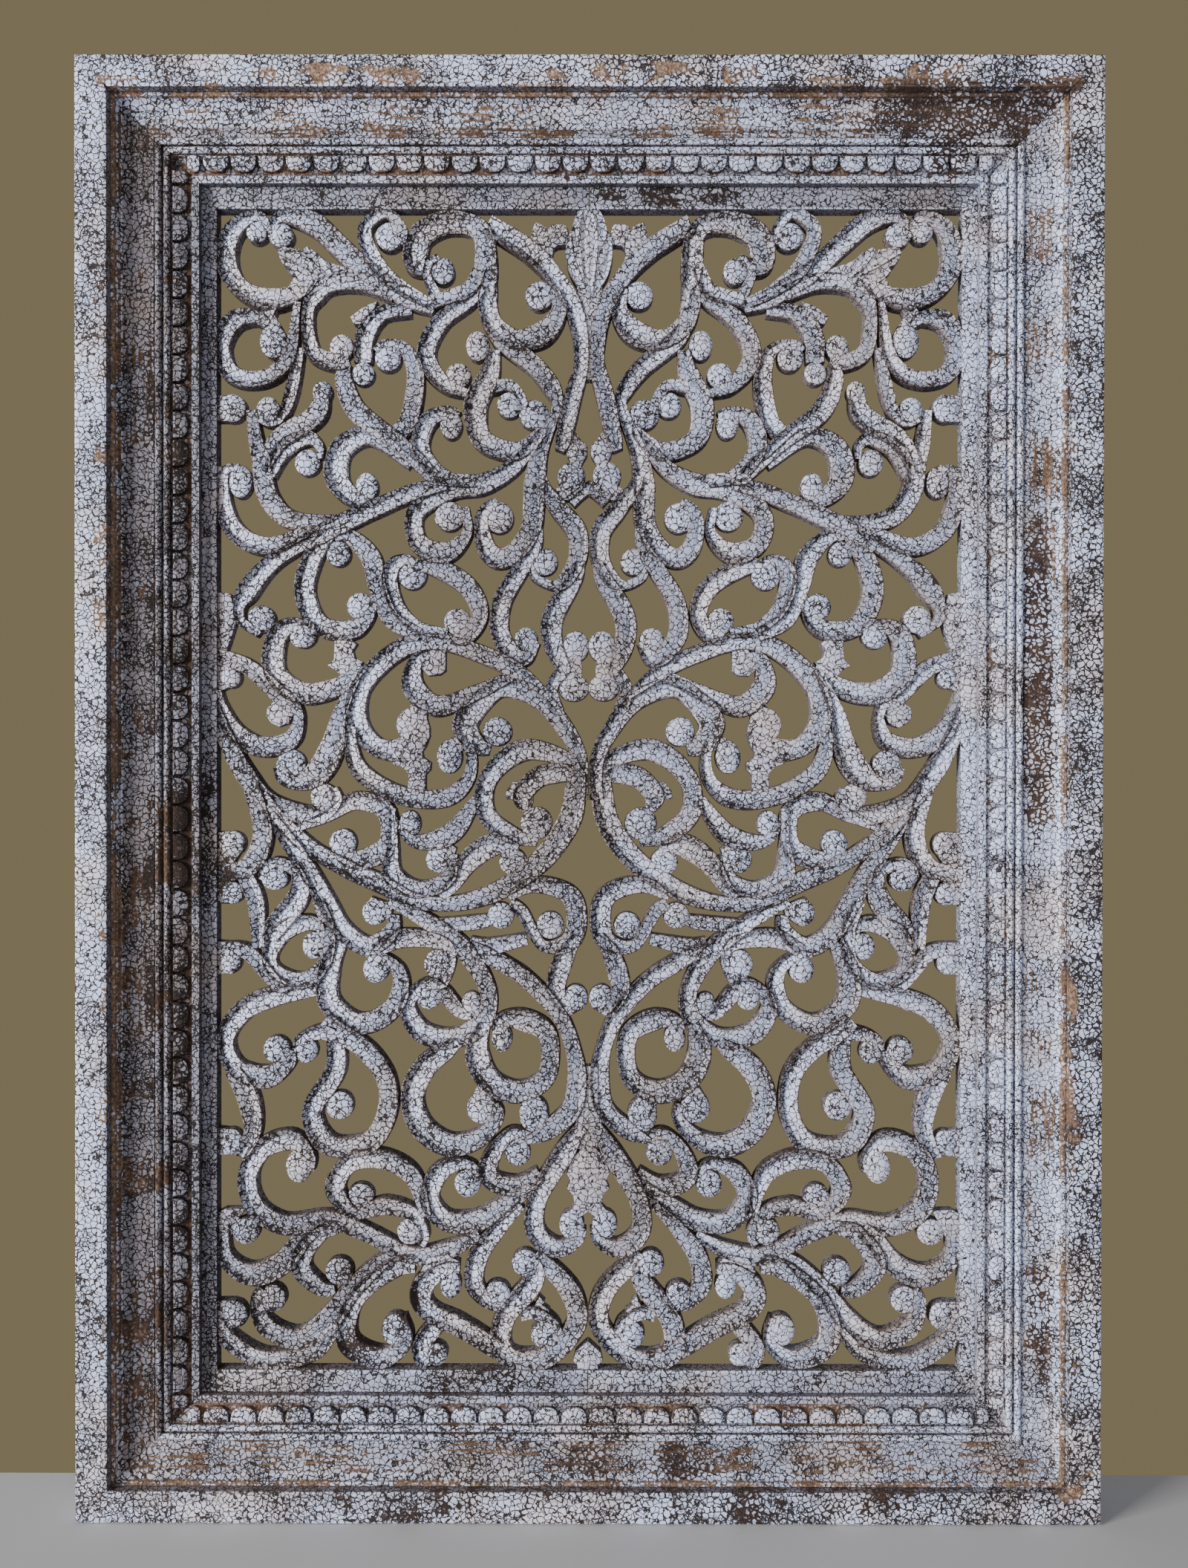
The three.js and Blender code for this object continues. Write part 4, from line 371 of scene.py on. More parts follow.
@dataclass(frozen=True)
class PanelFrame:
    """The panel's main places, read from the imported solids."""

    half_width: float
    half_height: float
    middle_up: float
    depth: float
    band_width: float
    board_back: float
    board_face: float

    @classmethod
    def from_solids(cls) -> PanelFrame:
        """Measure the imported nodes.

        Returns:
            The places that every piece of the scene is fitted to.
        """
        low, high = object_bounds()
        band_low, band_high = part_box("outer_board_top")
        board_low, board_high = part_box("carved_board_right")
        return cls(
            half_width=(high[0] - low[0]) / 2,
            half_height=(high[2] - low[2]) / 2,
            middle_up=(high[2] + low[2]) / 2,
            depth=high[1] - low[1],
            band_width=band_high[2] - band_low[2],
            board_back=-board_high[1],
            board_face=-board_low[1],
        )

    def to_world(self) -> Matrix:
        """The matrix from (across, up, out) to the scene."""
        turn = Matrix(((1, 0, 0, 0), (0, 0, -1, 0), (0, 1, 0, 0), (0, 0, 0, 1)))
        return Matrix.Translation((0, 0, self.middle_up)) @ turn

    def run_of(self, side: Side) -> float:
        """Half the length of the panel's edge on a side."""
        return self.half_width if side in (Side.TOP, Side.BOTTOM) else self.half_height

    def edge_of(self, side: Side) -> float:
        """How far a side's outer edge is from the panel's middle."""
        return self.half_height if side in (Side.TOP, Side.BOTTOM) else self.half_width


def mended(mesh: Shape) -> Shape:
    """Merge doubled corners of a closed shape and point its faces outwards."""
    bmesh.ops.remove_doubles(mesh, verts=mesh.verts, dist=NEAR)
    bmesh.ops.recalc_face_normals(mesh, faces=mesh.faces)
    return mesh


def stored(mesh: Shape, name: str) -> bpy.types.Mesh:
    """Turn a shape into mesh data and free it."""
    data = bpy.data.meshes.new(name)
    mesh.to_mesh(data)
    mesh.free()
    return data


def poured_into(whole: Shape, part: Shape) -> None:
    """Add one shape to a larger one and free it."""
    carrier = stored(part, "carrier")
    whole.from_mesh(carrier)
    bpy.data.meshes.remove(carrier)


def linked(name: str, data: bpy.types.ID) -> bpy.types.Object:
    """Make an object from its data and link it to the scene."""
    made = bpy.data.objects.new(name, data)
    bpy.context.scene.collection.objects.link(made)
    return made


def cuboid(length: float, width: float, height: float) -> Shape:
    """A box about the origin."""
    made = bmesh.new()
    bmesh.ops.create_cube(made, size=1.0)
    bmesh.ops.scale(made, vec=(length, width, height), verts=made.verts)
    return made


def prism(corners: Iterable[Triple], way: Triple) -> Shape:
    """A closed shape: a flat outline drawn out one way."""
    made = bmesh.new()
    face = made.faces.new([made.verts.new(corner) for corner in corners])
    raised = bmesh.ops.extrude_face_region(made, geom=[face])["geom"]
    far = [item for item in raised if isinstance(item, bmesh.types.BMVert)]
    bmesh.ops.translate(made, vec=way, verts=far)
    return mended(made)


def softened(mesh: Shape, edges: list[bmesh.types.BMEdge], offset: float, segments: int = 2) -> None:
    """Round some edges of a shape."""
    bmesh.ops.bevel(mesh, geom=edges, offset=offset, offset_type="OFFSET", segments=segments, profile=0.5,
        affect="EDGES", clamp_overlap=True, material=-1)


def cut_off(part: Shape, place: Triple, normal: Triple, inner: bool) -> None:
    """Cut a shape along a plane, drop one side of it and close the cut.

    Args:
        part: the closed shape.
        place: a point of the plane.
        normal: the plane's direction.
        inner: whether the side behind the plane is dropped, or else the side before it.
    """
    everything = [*part.verts, *part.edges, *part.faces]
    cut = bmesh.ops.bisect_plane(part, geom=everything, dist=1e-7, plane_co=place, plane_no=normal,
        clear_inner=inner, clear_outer=not inner)
    edges = [item for item in cut["geom_cut"] if isinstance(item, bmesh.types.BMEdge)]
    bmesh.ops.holes_fill(part, edges=edges, sides=0)
    bmesh.ops.recalc_face_normals(part, faces=part.faces)


def marked(mesh: Shape, marks: Callable[[bmesh.types.BMVert], Triple]) -> None:
    """Mark each corner as (outer strip, worn edge, crease), which the finishes read."""
    layer = mesh.verts.layers.float_color.new(CARVE)
    for vert in mesh.verts:
        vert[layer] = (*marks(vert), 1.0)


def unevenness(place: Vector, size: float, amount: float) -> Vector:
    """A small smooth shift at a place, as a hand tool leaves it.

    Args:
        place: where on the panel, in metres.
        size: the length over which the shift changes.
        amount: the largest shift.

    Returns:
        The shift.
    """
    return noise.noise_vector(place / size) * amount


@dataclass
class Piece:
    """One finished object of the scene."""

    name: str
    slot: str
    material: bpy.types.Material
    stands_for: tuple[str, ...]
    sharp_above: float = 32.0

    def finish(self, mesh: Shape, to_world: Matrix) -> bpy.types.Object:
        """Turn a shape in panel places into an object that replaces its nodes.

        Args:
            mesh: the shape, which is freed.
            to_world: the matrix from panel places to the scene.

        Returns:
            The object, which rides on the panel's one body.
        """
        bmesh.ops.transform(mesh, matrix=to_world, verts=mesh.verts)
        data = stored(mesh, self.name)
        data.materials.append(self.material)
        data.polygons.foreach_set("use_smooth", [True] * len(data.polygons))
        data.set_sharp_from_angle(angle=math.radians(self.sharp_above))
        made = linked(self.name, data)
        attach(made, "root")
        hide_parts(*self.stands_for)
        LOG.info("%s: %d faces", self.name, len(data.polygons))
        return made


@dataclass(frozen=True)
class Station:
    """One place along a ribbon."""

    middle: Vector
    ahead: Vector
    half_left: float
    half_right: float


@dataclass(frozen=True)
class Ribbon:
    """A carved ribbon: a broad and a narrow facet that fall from the rims to a shallow crease."""

    side: int
    points: tuple[Drawn, ...]
    top: float
    back: float
    step: float = 2.4 * MM
    least_half: float = 0.8 * MM
    crease_at: float = 0.3
    crease_depth: float = 2.6 * MM
    crease_base: float = 0.3 * MM
    crease_lip: float = 0.12
    lip_share: float = 0.86
    facet_share: float = 0.42
    rim_drop: float = 1.5 * MM
    rim_at: float = 0.88

    def curve(self) -> list[Vector]:
        """Points of a smooth centripetal curve through the drawn places; the third value is the width."""
        knots = [Vector(point) * MM for point in self.points]
        knots = [knots[0] * 2 - knots[1], *knots, knots[-1] * 2 - knots[-2]]
        found: list[Vector] = []
        for before, start, end, after in zip(knots, knots[1:], knots[2:], knots[3:]):
            pairs = ((before, start), (start, end), (end, after))
            first, gap, last = (max((far - near).length ** 0.5, 1e-4) for near, far in pairs)
            leave = (start - before) / first - (end - before) / (first + gap) + (end - start) / gap
            arrive = (end - start) / gap - (after - start) / (gap + last) + (after - end) / last
            leave *= gap
            arrive *= gap
            square = -3 * start + 3 * end - 2 * leave - arrive
            cube = 2 * start - 2 * end + leave + arrive
            count = max(2, round((end - start).length / self.step))
            for index in range(count):
                t = index / count
                found.append(start + leave * t + square * t**2 + cube * t**3)
        found.append(knots[-2])
        return found

    def stations(self) -> list[Station]:
        """The ribbon's places with their direction and half widths, narrowed inside tight turns."""
        curve = self.curve()
        flat = [Vector((point.x, point.y)) for point in curve]
        found = []
        for index, point in enumerate(flat):
            back = flat[max(index - 1, 0)]
            front = flat[min(index + 1, len(flat) - 1)]
            ahead = (front - back).normalized()
            into, out_of = point - back, front - point
            turn = into.angle_signed(out_of, 0.0) if into.length > 0 and out_of.length > 0 else 0.0
            radius = out_of.length / max(abs(turn), 1e-4) if out_of.length > 0 else 1.0
            half = max(curve[index].z / 2, self.least_half)
            inner = min(half, radius * 0.9)
            left, right = (inner, half) if turn < 0 else (half, inner)
            found.append(Station(point, ahead, left, right))
        return found

    def section(self, half: float) -> list[Point]:
        """The closed cross-section, as (share of the half width, height), from one foot to the other."""
        carved = max(0.0, min(1.0, (2 * half / MM - 5) / 5))
        crease = -self.crease_at * self.side
        depth = self.crease_depth * carved + self.crease_base
        rim = self.top - self.rim_drop
        facet = self.top - depth * self.facet_share
        lip = self.top - depth * self.lip_share
        return [
            (-1.0, self.back),
            (-1.0, rim),
            (-self.rim_at, self.top),
            ((crease - 1) / 2, facet),
            (crease - self.crease_lip, lip),
            (crease, self.top - depth),
            (crease + self.crease_lip, lip),
            ((crease + 1) / 2, facet),
            (self.rim_at, self.top),
            (1.0, rim),
            (1.0, self.back),
        ]

    def mesh(self) -> Shape:
        """The ribbon as a closed shape."""
        stations = self.stations()
        around = len(self.section(1.0))
        made = bmesh.new()
        layer = made.verts.layers.float_color.new(CARVE)
        bmesh.ops.create_grid(made, x_segments=len(stations) - 1, y_segments=around, size=1.0)
        for vert in made.verts:
            along = round((vert.co.x + 1) / 2 * (len(stations) - 1))
            ring = round((vert.co.y + 1) / 2 * around) % around
            station = stations[along]
            share, height = self.section((station.half_left + station.half_right) / 2)[ring]
            half = station.half_left if share < 0 else station.half_right
            across = Vector((-station.ahead.y, station.ahead.x)) * (-share * half)
            vert.co = (station.middle.x + across.x, station.middle.y + across.y, height)
            vert[layer] = (*self.marks(ring), 1.0)
        mended(made)
        rims = [edge for edge in made.edges if edge.is_boundary]
        bmesh.ops.holes_fill(made, edges=rims, sides=0)
        return mended(made)

    def marks(self, ring: int) -> Triple:
        """The (outer strip, worn edge, crease) mark of a corner of the section."""
        # The strip mark gives the narrow facet finer, wider cracks and painted shade, as if it were turned
        # from the light.
        strip = 0.35 if self.side == 0 else float(ring < 5 if self.side > 0 else ring > 5)
        edge = 0.9 if ring in (1, 2, 8, 9) else 0.0
        # The crease mark gives the crease finer cracks, grime and painted shade.
        crease = {5: 0.9, 4: 0.3, 6: 0.3}.get(ring, 0.0)
        return strip * 0.8, edge, crease


@dataclass(frozen=True)
class Knob:
    """A domed knob at the end of a scroll."""

    across: float
    up: float
    half_width: float
    half_height: float
    top: float
    back: float
    shoulder: float = 3.4 * MM
    worn_from: float = -0.2 * MM
    worn_to: float = 1.6 * MM
    doming: float = 0.75
    segments: int = 22
    rings: int = 12

    def mesh(self) -> Shape:
        """The knob as a closed shape with straight sides and a low dome."""
        made = bmesh.new()
        bmesh.ops.create_uvsphere(made, u_segments=self.segments, v_segments=self.rings, radius=1.0)
        foot = self.top - self.shoulder
        for vert in made.verts:
            flat = Vector((vert.co.x, vert.co.y))
            if vert.co.z < -0.05:
                spread = 1.0 / flat.length if flat.length > 0.05 and vert.co.z > -0.9 else 1.0
                vert.co = (flat.x * spread, flat.y * spread, self.back)
            else:
                vert.co.z = foot + (self.top - foot) * max(vert.co.z, 0.0) ** self.doming
            vert.co.x = self.across + vert.co.x * self.half_width
            vert.co.y = self.up + vert.co.y * self.half_height
        low, high = foot + self.worn_from, foot + self.worn_to
        marked(made, lambda vert: (0.12, float(low < vert.co.z < high) * 0.8, 0.0))
        return mended(made)


@dataclass(frozen=True)
class Leaf:
    """A flat leaf, lobe or web with softened upper edges."""

    outline: tuple[Point, ...]
    top: float
    back: float
    softness: float = 1.1 * MM
    worn_from: float = 1 * MM

    def mesh(self) -> Shape:
        """The leaf as a closed shape."""
        corners = [(x * MM, y * MM, self.back) for x, y in self.outline]
        made = prism(corners, (0, 0, self.top - self.back))
        rim = [edge for edge in made.edges if all(vert.co.z > self.top - NEAR for vert in edge.verts)]
        softened(made, rim, self.softness)
        marked(made, lambda vert: (0.1, float(vert.co.z > self.back + self.worn_from) * 0.6, 0.0))
        return mended(made)


@dataclass
class CarvedBoard:
    """One of the two carved boards: a flat border with ribbons, knobs and leaves."""

    frame: PanelFrame
    hand: int
    opening_half_width: float = DRAWN_HALF_WIDTH * MM
    opening_half_height: float = DRAWN_HALF_HEIGHT * MM
    seam: float = GAP / 2
    ribbon_drop: float = 0.2 * MM
    leaf_drop: float = 1.4 * MM
    border_softness: float = 0.7 * MM
    seam_margin: float = 6 * MM
    border_margin: float = 8 * MM

    @staticmethod
    def layer(index: int) -> float:
        """A small drop that keeps neighbouring shapes out of one plane."""
        return (index * 5 % 11) * 0.05 * MM

    def parts(self) -> Iterable[Shape]:
        """The ribbons, knobs and leaves, one closed shape each."""
        face, back = self.frame.board_face, self.frame.board_back
        for drawn, lift in ((RIBBONS, 0.0), (LOBES, 0.03 * MM)):
            for index, (_, side, points) in enumerate(drawn):
                drop = self.layer(index)
                yield Ribbon(side, points, face - self.ribbon_drop - drop, back + drop + lift).mesh()
        for index, knob in enumerate(KNOBS):
            drop = self.layer(index + 3) / 2
            yield Knob(*(value * MM for value in knob), face - drop, back + drop + 0.02 * MM).mesh()
        for index, (_, outline) in enumerate(LEAVES):
            drop = self.layer(index + 7)
            yield Leaf(outline, face - self.leaf_drop - drop, back + drop + 0.01 * MM).mesh()

    def border(self) -> Iterable[Shape]:
        """The flat border: one upright strip and a strip above and below."""
        low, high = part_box("carved_board_right")
        outer_across = high[0]
        outer_up = high[2] - self.frame.middle_up
        lower = low[2] - self.frame.middle_up
        yield self.strip(self.opening_half_width, outer_across, lower, outer_up, 0.12 * MM, 0.05)
        yield self.strip(self.seam, outer_across, self.opening_half_height, outer_up, 0.0, 0.24)
        yield self.strip(self.seam, outer_across, lower, -self.opening_half_height, 0.0, 0.24)

    def strip(self, left: float, right: float, bottom: float, top: float, sunk: float,
              fine: float) -> Shape:
        """A flat strip of the border, with softened front edges.

        Args:
            left: its left edge.
            right: its right edge.
            bottom: its lower edge.
            top: its upper edge.
            sunk: how far it lies under the board's face.
            fine: how fine its cracks are, from 0 to 1.

        Returns:
            The strip as a closed shape.
        """
        face, back = self.frame.board_face - sunk, self.frame.board_back + sunk
        made = cuboid(right - left, top - bottom, face - back)
        middle = ((left + right) / 2, (bottom + top) / 2, (face + back) / 2)
        bmesh.ops.translate(made, vec=middle, verts=made.verts)
        level = [edge for edge in made.edges if abs(edge.verts[0].co.z - edge.verts[1].co.z) < NEAR]
        softened(made, [edge for edge in level if edge.verts[0].co.z > back + 1e-4], self.border_softness)
        marked(made, lambda vert: (fine, 0.0, 0.0))
        return mended(made)

    def mesh(self) -> Shape:
        """The whole board in panel places, uneven as hand carving is."""
        whole = bmesh.new()
        for part in (*self.parts(), *self.border()):
            if min(vert.co.x for vert in part.verts) < self.seam:
                cut_off(part, (self.seam, 0, 0), (1, 0, 0), inner=True)
            if part.faces:
                poured_into(whole, part)
        if self.hand < 0:
            bmesh.ops.scale(whole, vec=(-1, 1, 1), verts=whole.verts)
            bmesh.ops.reverse_faces(whole, faces=whole.faces)
        self.roughen(whole)
        return whole

    def roughen(self, whole: Shape) -> None:
        """Shift the carving a little, most on its face, and not at the border or the seam."""
        back, thickness = self.frame.board_back, self.frame.board_face - self.frame.board_back
        for vert in whole.verts:
            share = (vert.co.z - back) / thickness
            from_border = max(0.0, (self.opening_half_width - abs(vert.co.x)) / self.border_margin)
            inside = min(1.0, abs(vert.co.x) / self.seam_margin, from_border)
            coarse = unevenness(vert.co, 22 * MM, 0.5 * MM)
            fine = unevenness(vert.co + Vector((0.3, 0, 0)), 6 * MM, 0.14 * MM)
            vert.co.x += (coarse.x + fine.x) * inside
            vert.co.y += (coarse.y + fine.y) * inside
            vert.co.z -= abs(coarse.z + fine.z) * share * inside


@dataclass
class FrameLength:
    """A mitred length of the frame, made along the top edge and turned to its side."""

    frame: PanelFrame
    side: Side
    cuts: int = 70

    @property
    def mitre_run(self) -> float:
        """How far the length's outer edge reaches from its middle to each mitre."""
        return self.frame.run_of(self.side) - GAP / math.sqrt(2)

    def swept(self, section: Iterable[Point], soften: float) -> Shape:
        """Sweep a closed section along the side, mitre both ends and soften its long edges.

        Args:
            section: corners as (inwards, out) from the panel's outer back edge.
            soften: how far a sharp long edge is rounded.

        Returns:
            The closed length, with its outer edge on the line up = 0.
        """
        made = prism([(-1.0, -inwards, out) for inwards, out in section], (2, 0, 0))
        front = [edge for edge in self.long_edges(made) if min(vert.co.z for vert in edge.verts) > 1 * MM]
        softened(made, [edge for edge in front if edge.calc_face_angle(0.0) > math.radians(40)], soften)
        bmesh.ops.subdivide_edges(made, edges=self.long_edges(made), cuts=self.cuts, use_grid_fill=False)
        run = self.frame.run_of(self.side)
        for vert in made.verts:
            vert.co.x *= run + vert.co.y - GAP / math.sqrt(2)
        return mended(made)

    @staticmethod
    def long_edges(made: Shape) -> list[bmesh.types.BMEdge]:
        """The edges that run along the length."""
        return [edge for edge in made.edges if abs(edge.verts[0].co.x - edge.verts[1].co.x) > 1e-3]

    def turned(self, made: Shape) -> Shape:
        """Bring a length from the top edge's own line to its side of the panel."""
        turn = Matrix.Rotation(math.radians(self.side.value), 4, "Z")
        out_to_edge = Matrix.Translation((0, self.frame.edge_of(self.side), 0))
        bmesh.ops.transform(made, matrix=turn @ out_to_edge, verts=made.verts)
        return made

    @staticmethod
    def worn(made: Shape, amount: float) -> None:
        """Sink the face unevenly, never past its own plane, as an old board's is."""
        for vert in made.verts:
            if vert.co.z > 5 * MM:
                shift = unevenness(vert.co, 30 * MM, amount) + unevenness(vert.co, 7 * MM, amount / 2)
                vert.co.z -= abs(shift.z)


@dataclass
class OuterBoard(FrameLength):
    """One flat outer board."""

    arris: float = 1.2 * MM
    wear: float = 0.35 * MM

    def mesh(self) -> Shape:
        """The board with rounded front edges and an uneven face."""
        width, depth = self.frame.band_width, self.frame.depth
        face = [(width * share, depth) for share in (1, 0.82, 0.5, 0.18, 0)]
        made = self.swept([(0.0, 0.0), (width, 0.0), *face], self.arris)
        self.turned(made)
        self.worn(made, self.wear)
        return made


@dataclass
class Moulding(FrameLength):
    """One moulding length: fillet, cove, flat, two beads, scallops, groove and lip."""

    fillet_width: float = 3 * MM
    fillet_drop: float = 6.5 * MM
    cove_width: float = 12 * MM
    cove_drop: float = 12.5 * MM
    flat_width: float = 13 * MM
    flat_sink: float = 0.2 * MM
    bead_width: float = 6 * MM
    bead_rise: float = 2.4 * MM
    quirk: float = 1.0 * MM
    scallop_width: float = 11 * MM
    scallop_height: float = 5 * MM
    scallop_drop: float = 11 * MM
    scallop_pitch: float = 19.3 * MM
    scallop_gap: float = 1.0 * MM
    scallop_round: float = 7.4 * MM
    scallop_softness: float = 2.1 * MM
    scallop_lean: float = math.atan2(2.2, 11)
    part_scallop: float = 8.5 * MM
    part_distance: float = 5.6 * MM
    bed_depth: float = 1.2 * MM
    groove_width: float = 2 * MM
    groove_drop: float = 16.5 * MM
    lip_width: float = 5 * MM
    lip_drop: float = 15 * MM
    rebate_width: float = 8 * MM
    softness: float = 0.5 * MM
    wear: float = 0.25 * MM

    @property
    def scallop_start(self) -> float:
        """Where the scallops begin, inwards from the panel's edge."""
        cove_end = self.frame.band_width + self.fillet_width + self.cove_width
        return cove_end + self.flat_width + 2 * self.bead_width

    @property
    def groove_start(self) -> float:
        """Where the groove inside the scallops begins."""
        return self.scallop_start + self.scallop_width

    def section(self) -> list[Point]:
        """The closed section without its scallops."""
        depth = self.frame.depth
        start = self.frame.band_width + GAP
        cove = self.frame.band_width + self.fillet_width
        flat = cove + self.cove_width
        beads = flat + self.flat_width
        lip = self.groove_start + self.groove_width
        sight = lip + self.lip_width
        fillet_out, flat_out = depth - self.fillet_drop, depth - self.cove_drop
        found = [(start, 0.0), (start, fillet_out)]
        fall = self.cove_drop - self.fillet_drop
        for step in range(9):
            angle = step / 8 * math.pi / 2
            inwards = cove + self.cove_width * (1 - math.cos(angle))
            found.append((inwards, fillet_out - fall * math.sin(angle)))
        found.append((flat + self.flat_width * 0.6, flat_out - self.flat_sink))
        found.append((beads - 0.4 * MM, flat_out - self.flat_sink))
        for bead in range(2):
            for step in range(11):
                angle = step / 10 * math.pi
                inwards = beads + (bead + 0.5 - 0.44 * math.cos(angle)) * self.bead_width
                rise = (self.bead_rise + self.quirk) * math.sin(angle)
                found.append((inwards, flat_out + rise - self.quirk))
        bed = depth - self.groove_drop + self.bed_depth
        found += [
            (self.scallop_start, flat_out - self.quirk),
            (self.scallop_start + 0.8 * MM, bed),
            (self.groove_start, bed - 1.0 * MM),
            (lip - 0.4 * MM, depth - self.groove_drop),
            (lip, depth - self.lip_drop),
            (sight, depth - self.lip_drop),
            (sight, self.frame.board_face + GAP),
            (sight - self.rebate_width, self.frame.board_face + GAP),
            (sight - self.rebate_width, 0.0),
        ]
        return found

    def scallop(self, length: float, across: float) -> Shape:
        """One scallop in its place: straight outside, rounded towards the carving, softly domed.

        Args:
            length: how long it is.
            across: where its middle is along the moulding.

        Returns:
            The scallop, cut off at the mitre where it would cross it.
        """
        height = self.scallop_height
        made = cuboid(length, self.scallop_width, height)
        upright = [edge for edge in made.edges if abs(edge.verts[0].co.z - edge.verts[1].co.z) > 1e-5]
        softened(made, [edge for edge in upright if edge.verts[0].co.y < 0], self.scallop_round, 5)
        top = [edge for edge in made.edges if all(vert.co.z > height / 2 - 1e-5 for vert in edge.verts)]
        softened(made, top, self.scallop_softness)
        mended(made)
        lean = Matrix.Rotation(self.scallop_lean, 4, "X")
        middle_in = self.scallop_start + self.scallop_width / 2
        out = self.frame.depth - self.scallop_drop - height / 2 - self.bed_depth
        to_place = Matrix.Translation((across, -middle_in, out))
        bmesh.ops.transform(made, matrix=to_place @ lean, verts=made.verts)
        for hand in (-1, 1):
            if max(hand * vert.co.x - self.mitre_run - vert.co.y for vert in made.verts) > 0:
                cut_off(made, (hand * self.mitre_run, 0, 0), (hand, -1, 0), inner=False)
        return made

    def scallops(self) -> Iterable[Shape]:
        """The row of scallops, with a part one at each mitre."""
        run = 2 * (self.frame.run_of(self.side) - self.groove_start) - self.scallop_pitch
        count = round(run / self.scallop_pitch)
        pitch = run / count
        for index in range(count):
            yield self.scallop(pitch - self.scallop_gap, (index + 0.5 - count / 2) * pitch)
        for hand in (-1, 1):
            yield self.scallop(self.part_scallop, hand * (count / 2 * pitch + self.part_distance))

    def mesh(self) -> Shape:
        """The whole length, worn and uneven."""
        made = self.swept(self.section(), self.softness)
        for scallop in self.scallops():
            poured_into(made, scallop)
        self.turned(made)
        self.worn(made, self.wear)
        return made


class Socket(Enum):
    """Kinds of socket that a node group may have."""

    VALUE = "NodeSocketFloat"
    COLOUR = "NodeSocketColor"
    VECTOR = "NodeSocketVector"


Wire = bpy.types.NodeSocket
Wires = Mapping[str, Wire]
Setting = float | tuple[float, ...] | Wire


def values(*labels: str) -> dict[str, Socket]:
    """Sockets that carry one number each."""
    return dict.fromkeys(labels, Socket.VALUE)


def srgb(red: int, green: int, blue: int) -> Colour:
    """A colour from its eight-bit screen values."""

    def linear(value: int) -> float:
        """One channel's light, from its screen value."""
        share = value / 255
        return share / 12.92 if share <= 0.04045 else ((share + 0.055) / 1.055) ** 2.4

    return (linear(red), linear(green), linear(blue), 1.0)


@dataclass
class Nodes:
    """A node tree with short ways to add and join its nodes."""

    tree: bpy.types.NodeTree

    def add(self, kind: str, inputs: dict[str | int, Setting] | None = None,
            **options: object) -> bpy.types.Node:
        """Add a node.

        Args:
            kind: the node's type.
            inputs: a value or a wire for each named input.
            options: the node's own settings.

        Returns:
            The node.
        """
        node = self.tree.nodes.new(kind)
        for name, value in options.items():
            setattr(node, name, value)
        for name, value in (inputs or {}).items():
            self.put(node.inputs[name], value)
        return node

    def put(self, socket: Wire, value: Setting) -> None:
        """Set an input or join it to a wire."""
        if isinstance(value, bpy.types.NodeSocket):
            self.tree.links.new(value, socket)
        else:
            socket.default_value = value

    def placed(self, tree: bpy.types.NodeTree, inputs: dict[str | int, Setting]) -> Wires:
        """The outputs of a shared effect, with a finish's own values."""
        return self.add("ShaderNodeGroup", inputs, node_tree=tree).outputs

    def maths(self, operation: str, first: Setting, second: Setting = 0.0) -> Wire:
        """One operation on two values."""
        return self.add("ShaderNodeMath", {0: first, 1: second}, operation=operation).outputs[0]

    def plus(self, first: Setting, second: Setting) -> Wire:
        """The sum of two values."""
        return self.maths("ADD", first, second)

    def minus(self, first: Setting, second: Setting) -> Wire:
        """The difference of two values."""
        return self.maths("SUBTRACT", first, second)

    def times(self, *factors: Setting) -> Wire:
        """The product of two or more values."""
        return reduce(lambda first, second: self.maths("MULTIPLY", first, second), factors)

    def highest(self, *choices: Setting) -> Wire:
        """The largest of two or more values."""
        return reduce(lambda first, second: self.maths("MAXIMUM", first, second), choices)

    def ramp(self, value: Setting, low: Setting, high: Setting, to_low: float = 0.0,
             to_high: float = 1.0) -> Wire:
        """A smooth step of a value from one level to another."""
        node = self.add("ShaderNodeMapRange", {"Value": value, "From Min": low, "From Max": high,
            "To Min": to_low, "To Max": to_high}, interpolation_type="SMOOTHSTEP", clamp=True)
        return node.outputs["Result"]

    def blend(self, share: Setting, first: Setting, second: Setting, mode: str = "MIX") -> Wire:
        """One colour laid over another."""
        node = self.add("ShaderNodeMix", {0: share, 6: first, 7: second}, data_type="RGBA",
            blend_type=mode, clamp_factor=True)
        return node.outputs[2]

    def cloud(self, place: Wire, scale: float, detail: float, roughness: float = 0.55) -> Wires:
        """Soft noise, with the scale as blots in a metre."""
        return self.add("ShaderNodeTexNoise", {"Vector": place, "Scale": scale, "Detail": detail,
            "Roughness": roughness}).outputs

    def to_crack(self, place: Wire, scale: Setting) -> Wire:
        """How far a place is from the edge of its island of paint."""
        node = self.add("ShaderNodeTexVoronoi", {"Vector": place, "Scale": scale},
            feature="DISTANCE_TO_EDGE")
        return node.outputs["Distance"]


@dataclass(frozen=True)
class Effect:
    """A shader node group that several finishes use. Each takes a place on the panel."""

    name: str
    takes: dict[str, Socket]
    gives: dict[str, Socket]

    def group(self, fill: Callable[[Nodes, Wires], dict[str, Wire]]) -> bpy.types.NodeTree:
        """Make the group.

        Args:
            fill: draws the group from its inputs and gives a wire for each output.

        Returns:
            The group's tree.
        """
        tree = bpy.data.node_groups.new(self.name, "ShaderNodeTree")
        for label, kind in ({"Place": Socket.VECTOR} | self.takes).items():
            tree.interface.new_socket(label, in_out="INPUT", socket_type=kind.value)
        for label, kind in self.gives.items():
            tree.interface.new_socket(label, in_out="OUTPUT", socket_type=kind.value)
        nodes = Nodes(tree)
        nodes.add("NodeGroupOutput", fill(nodes, nodes.add("NodeGroupInput").outputs))
        return tree


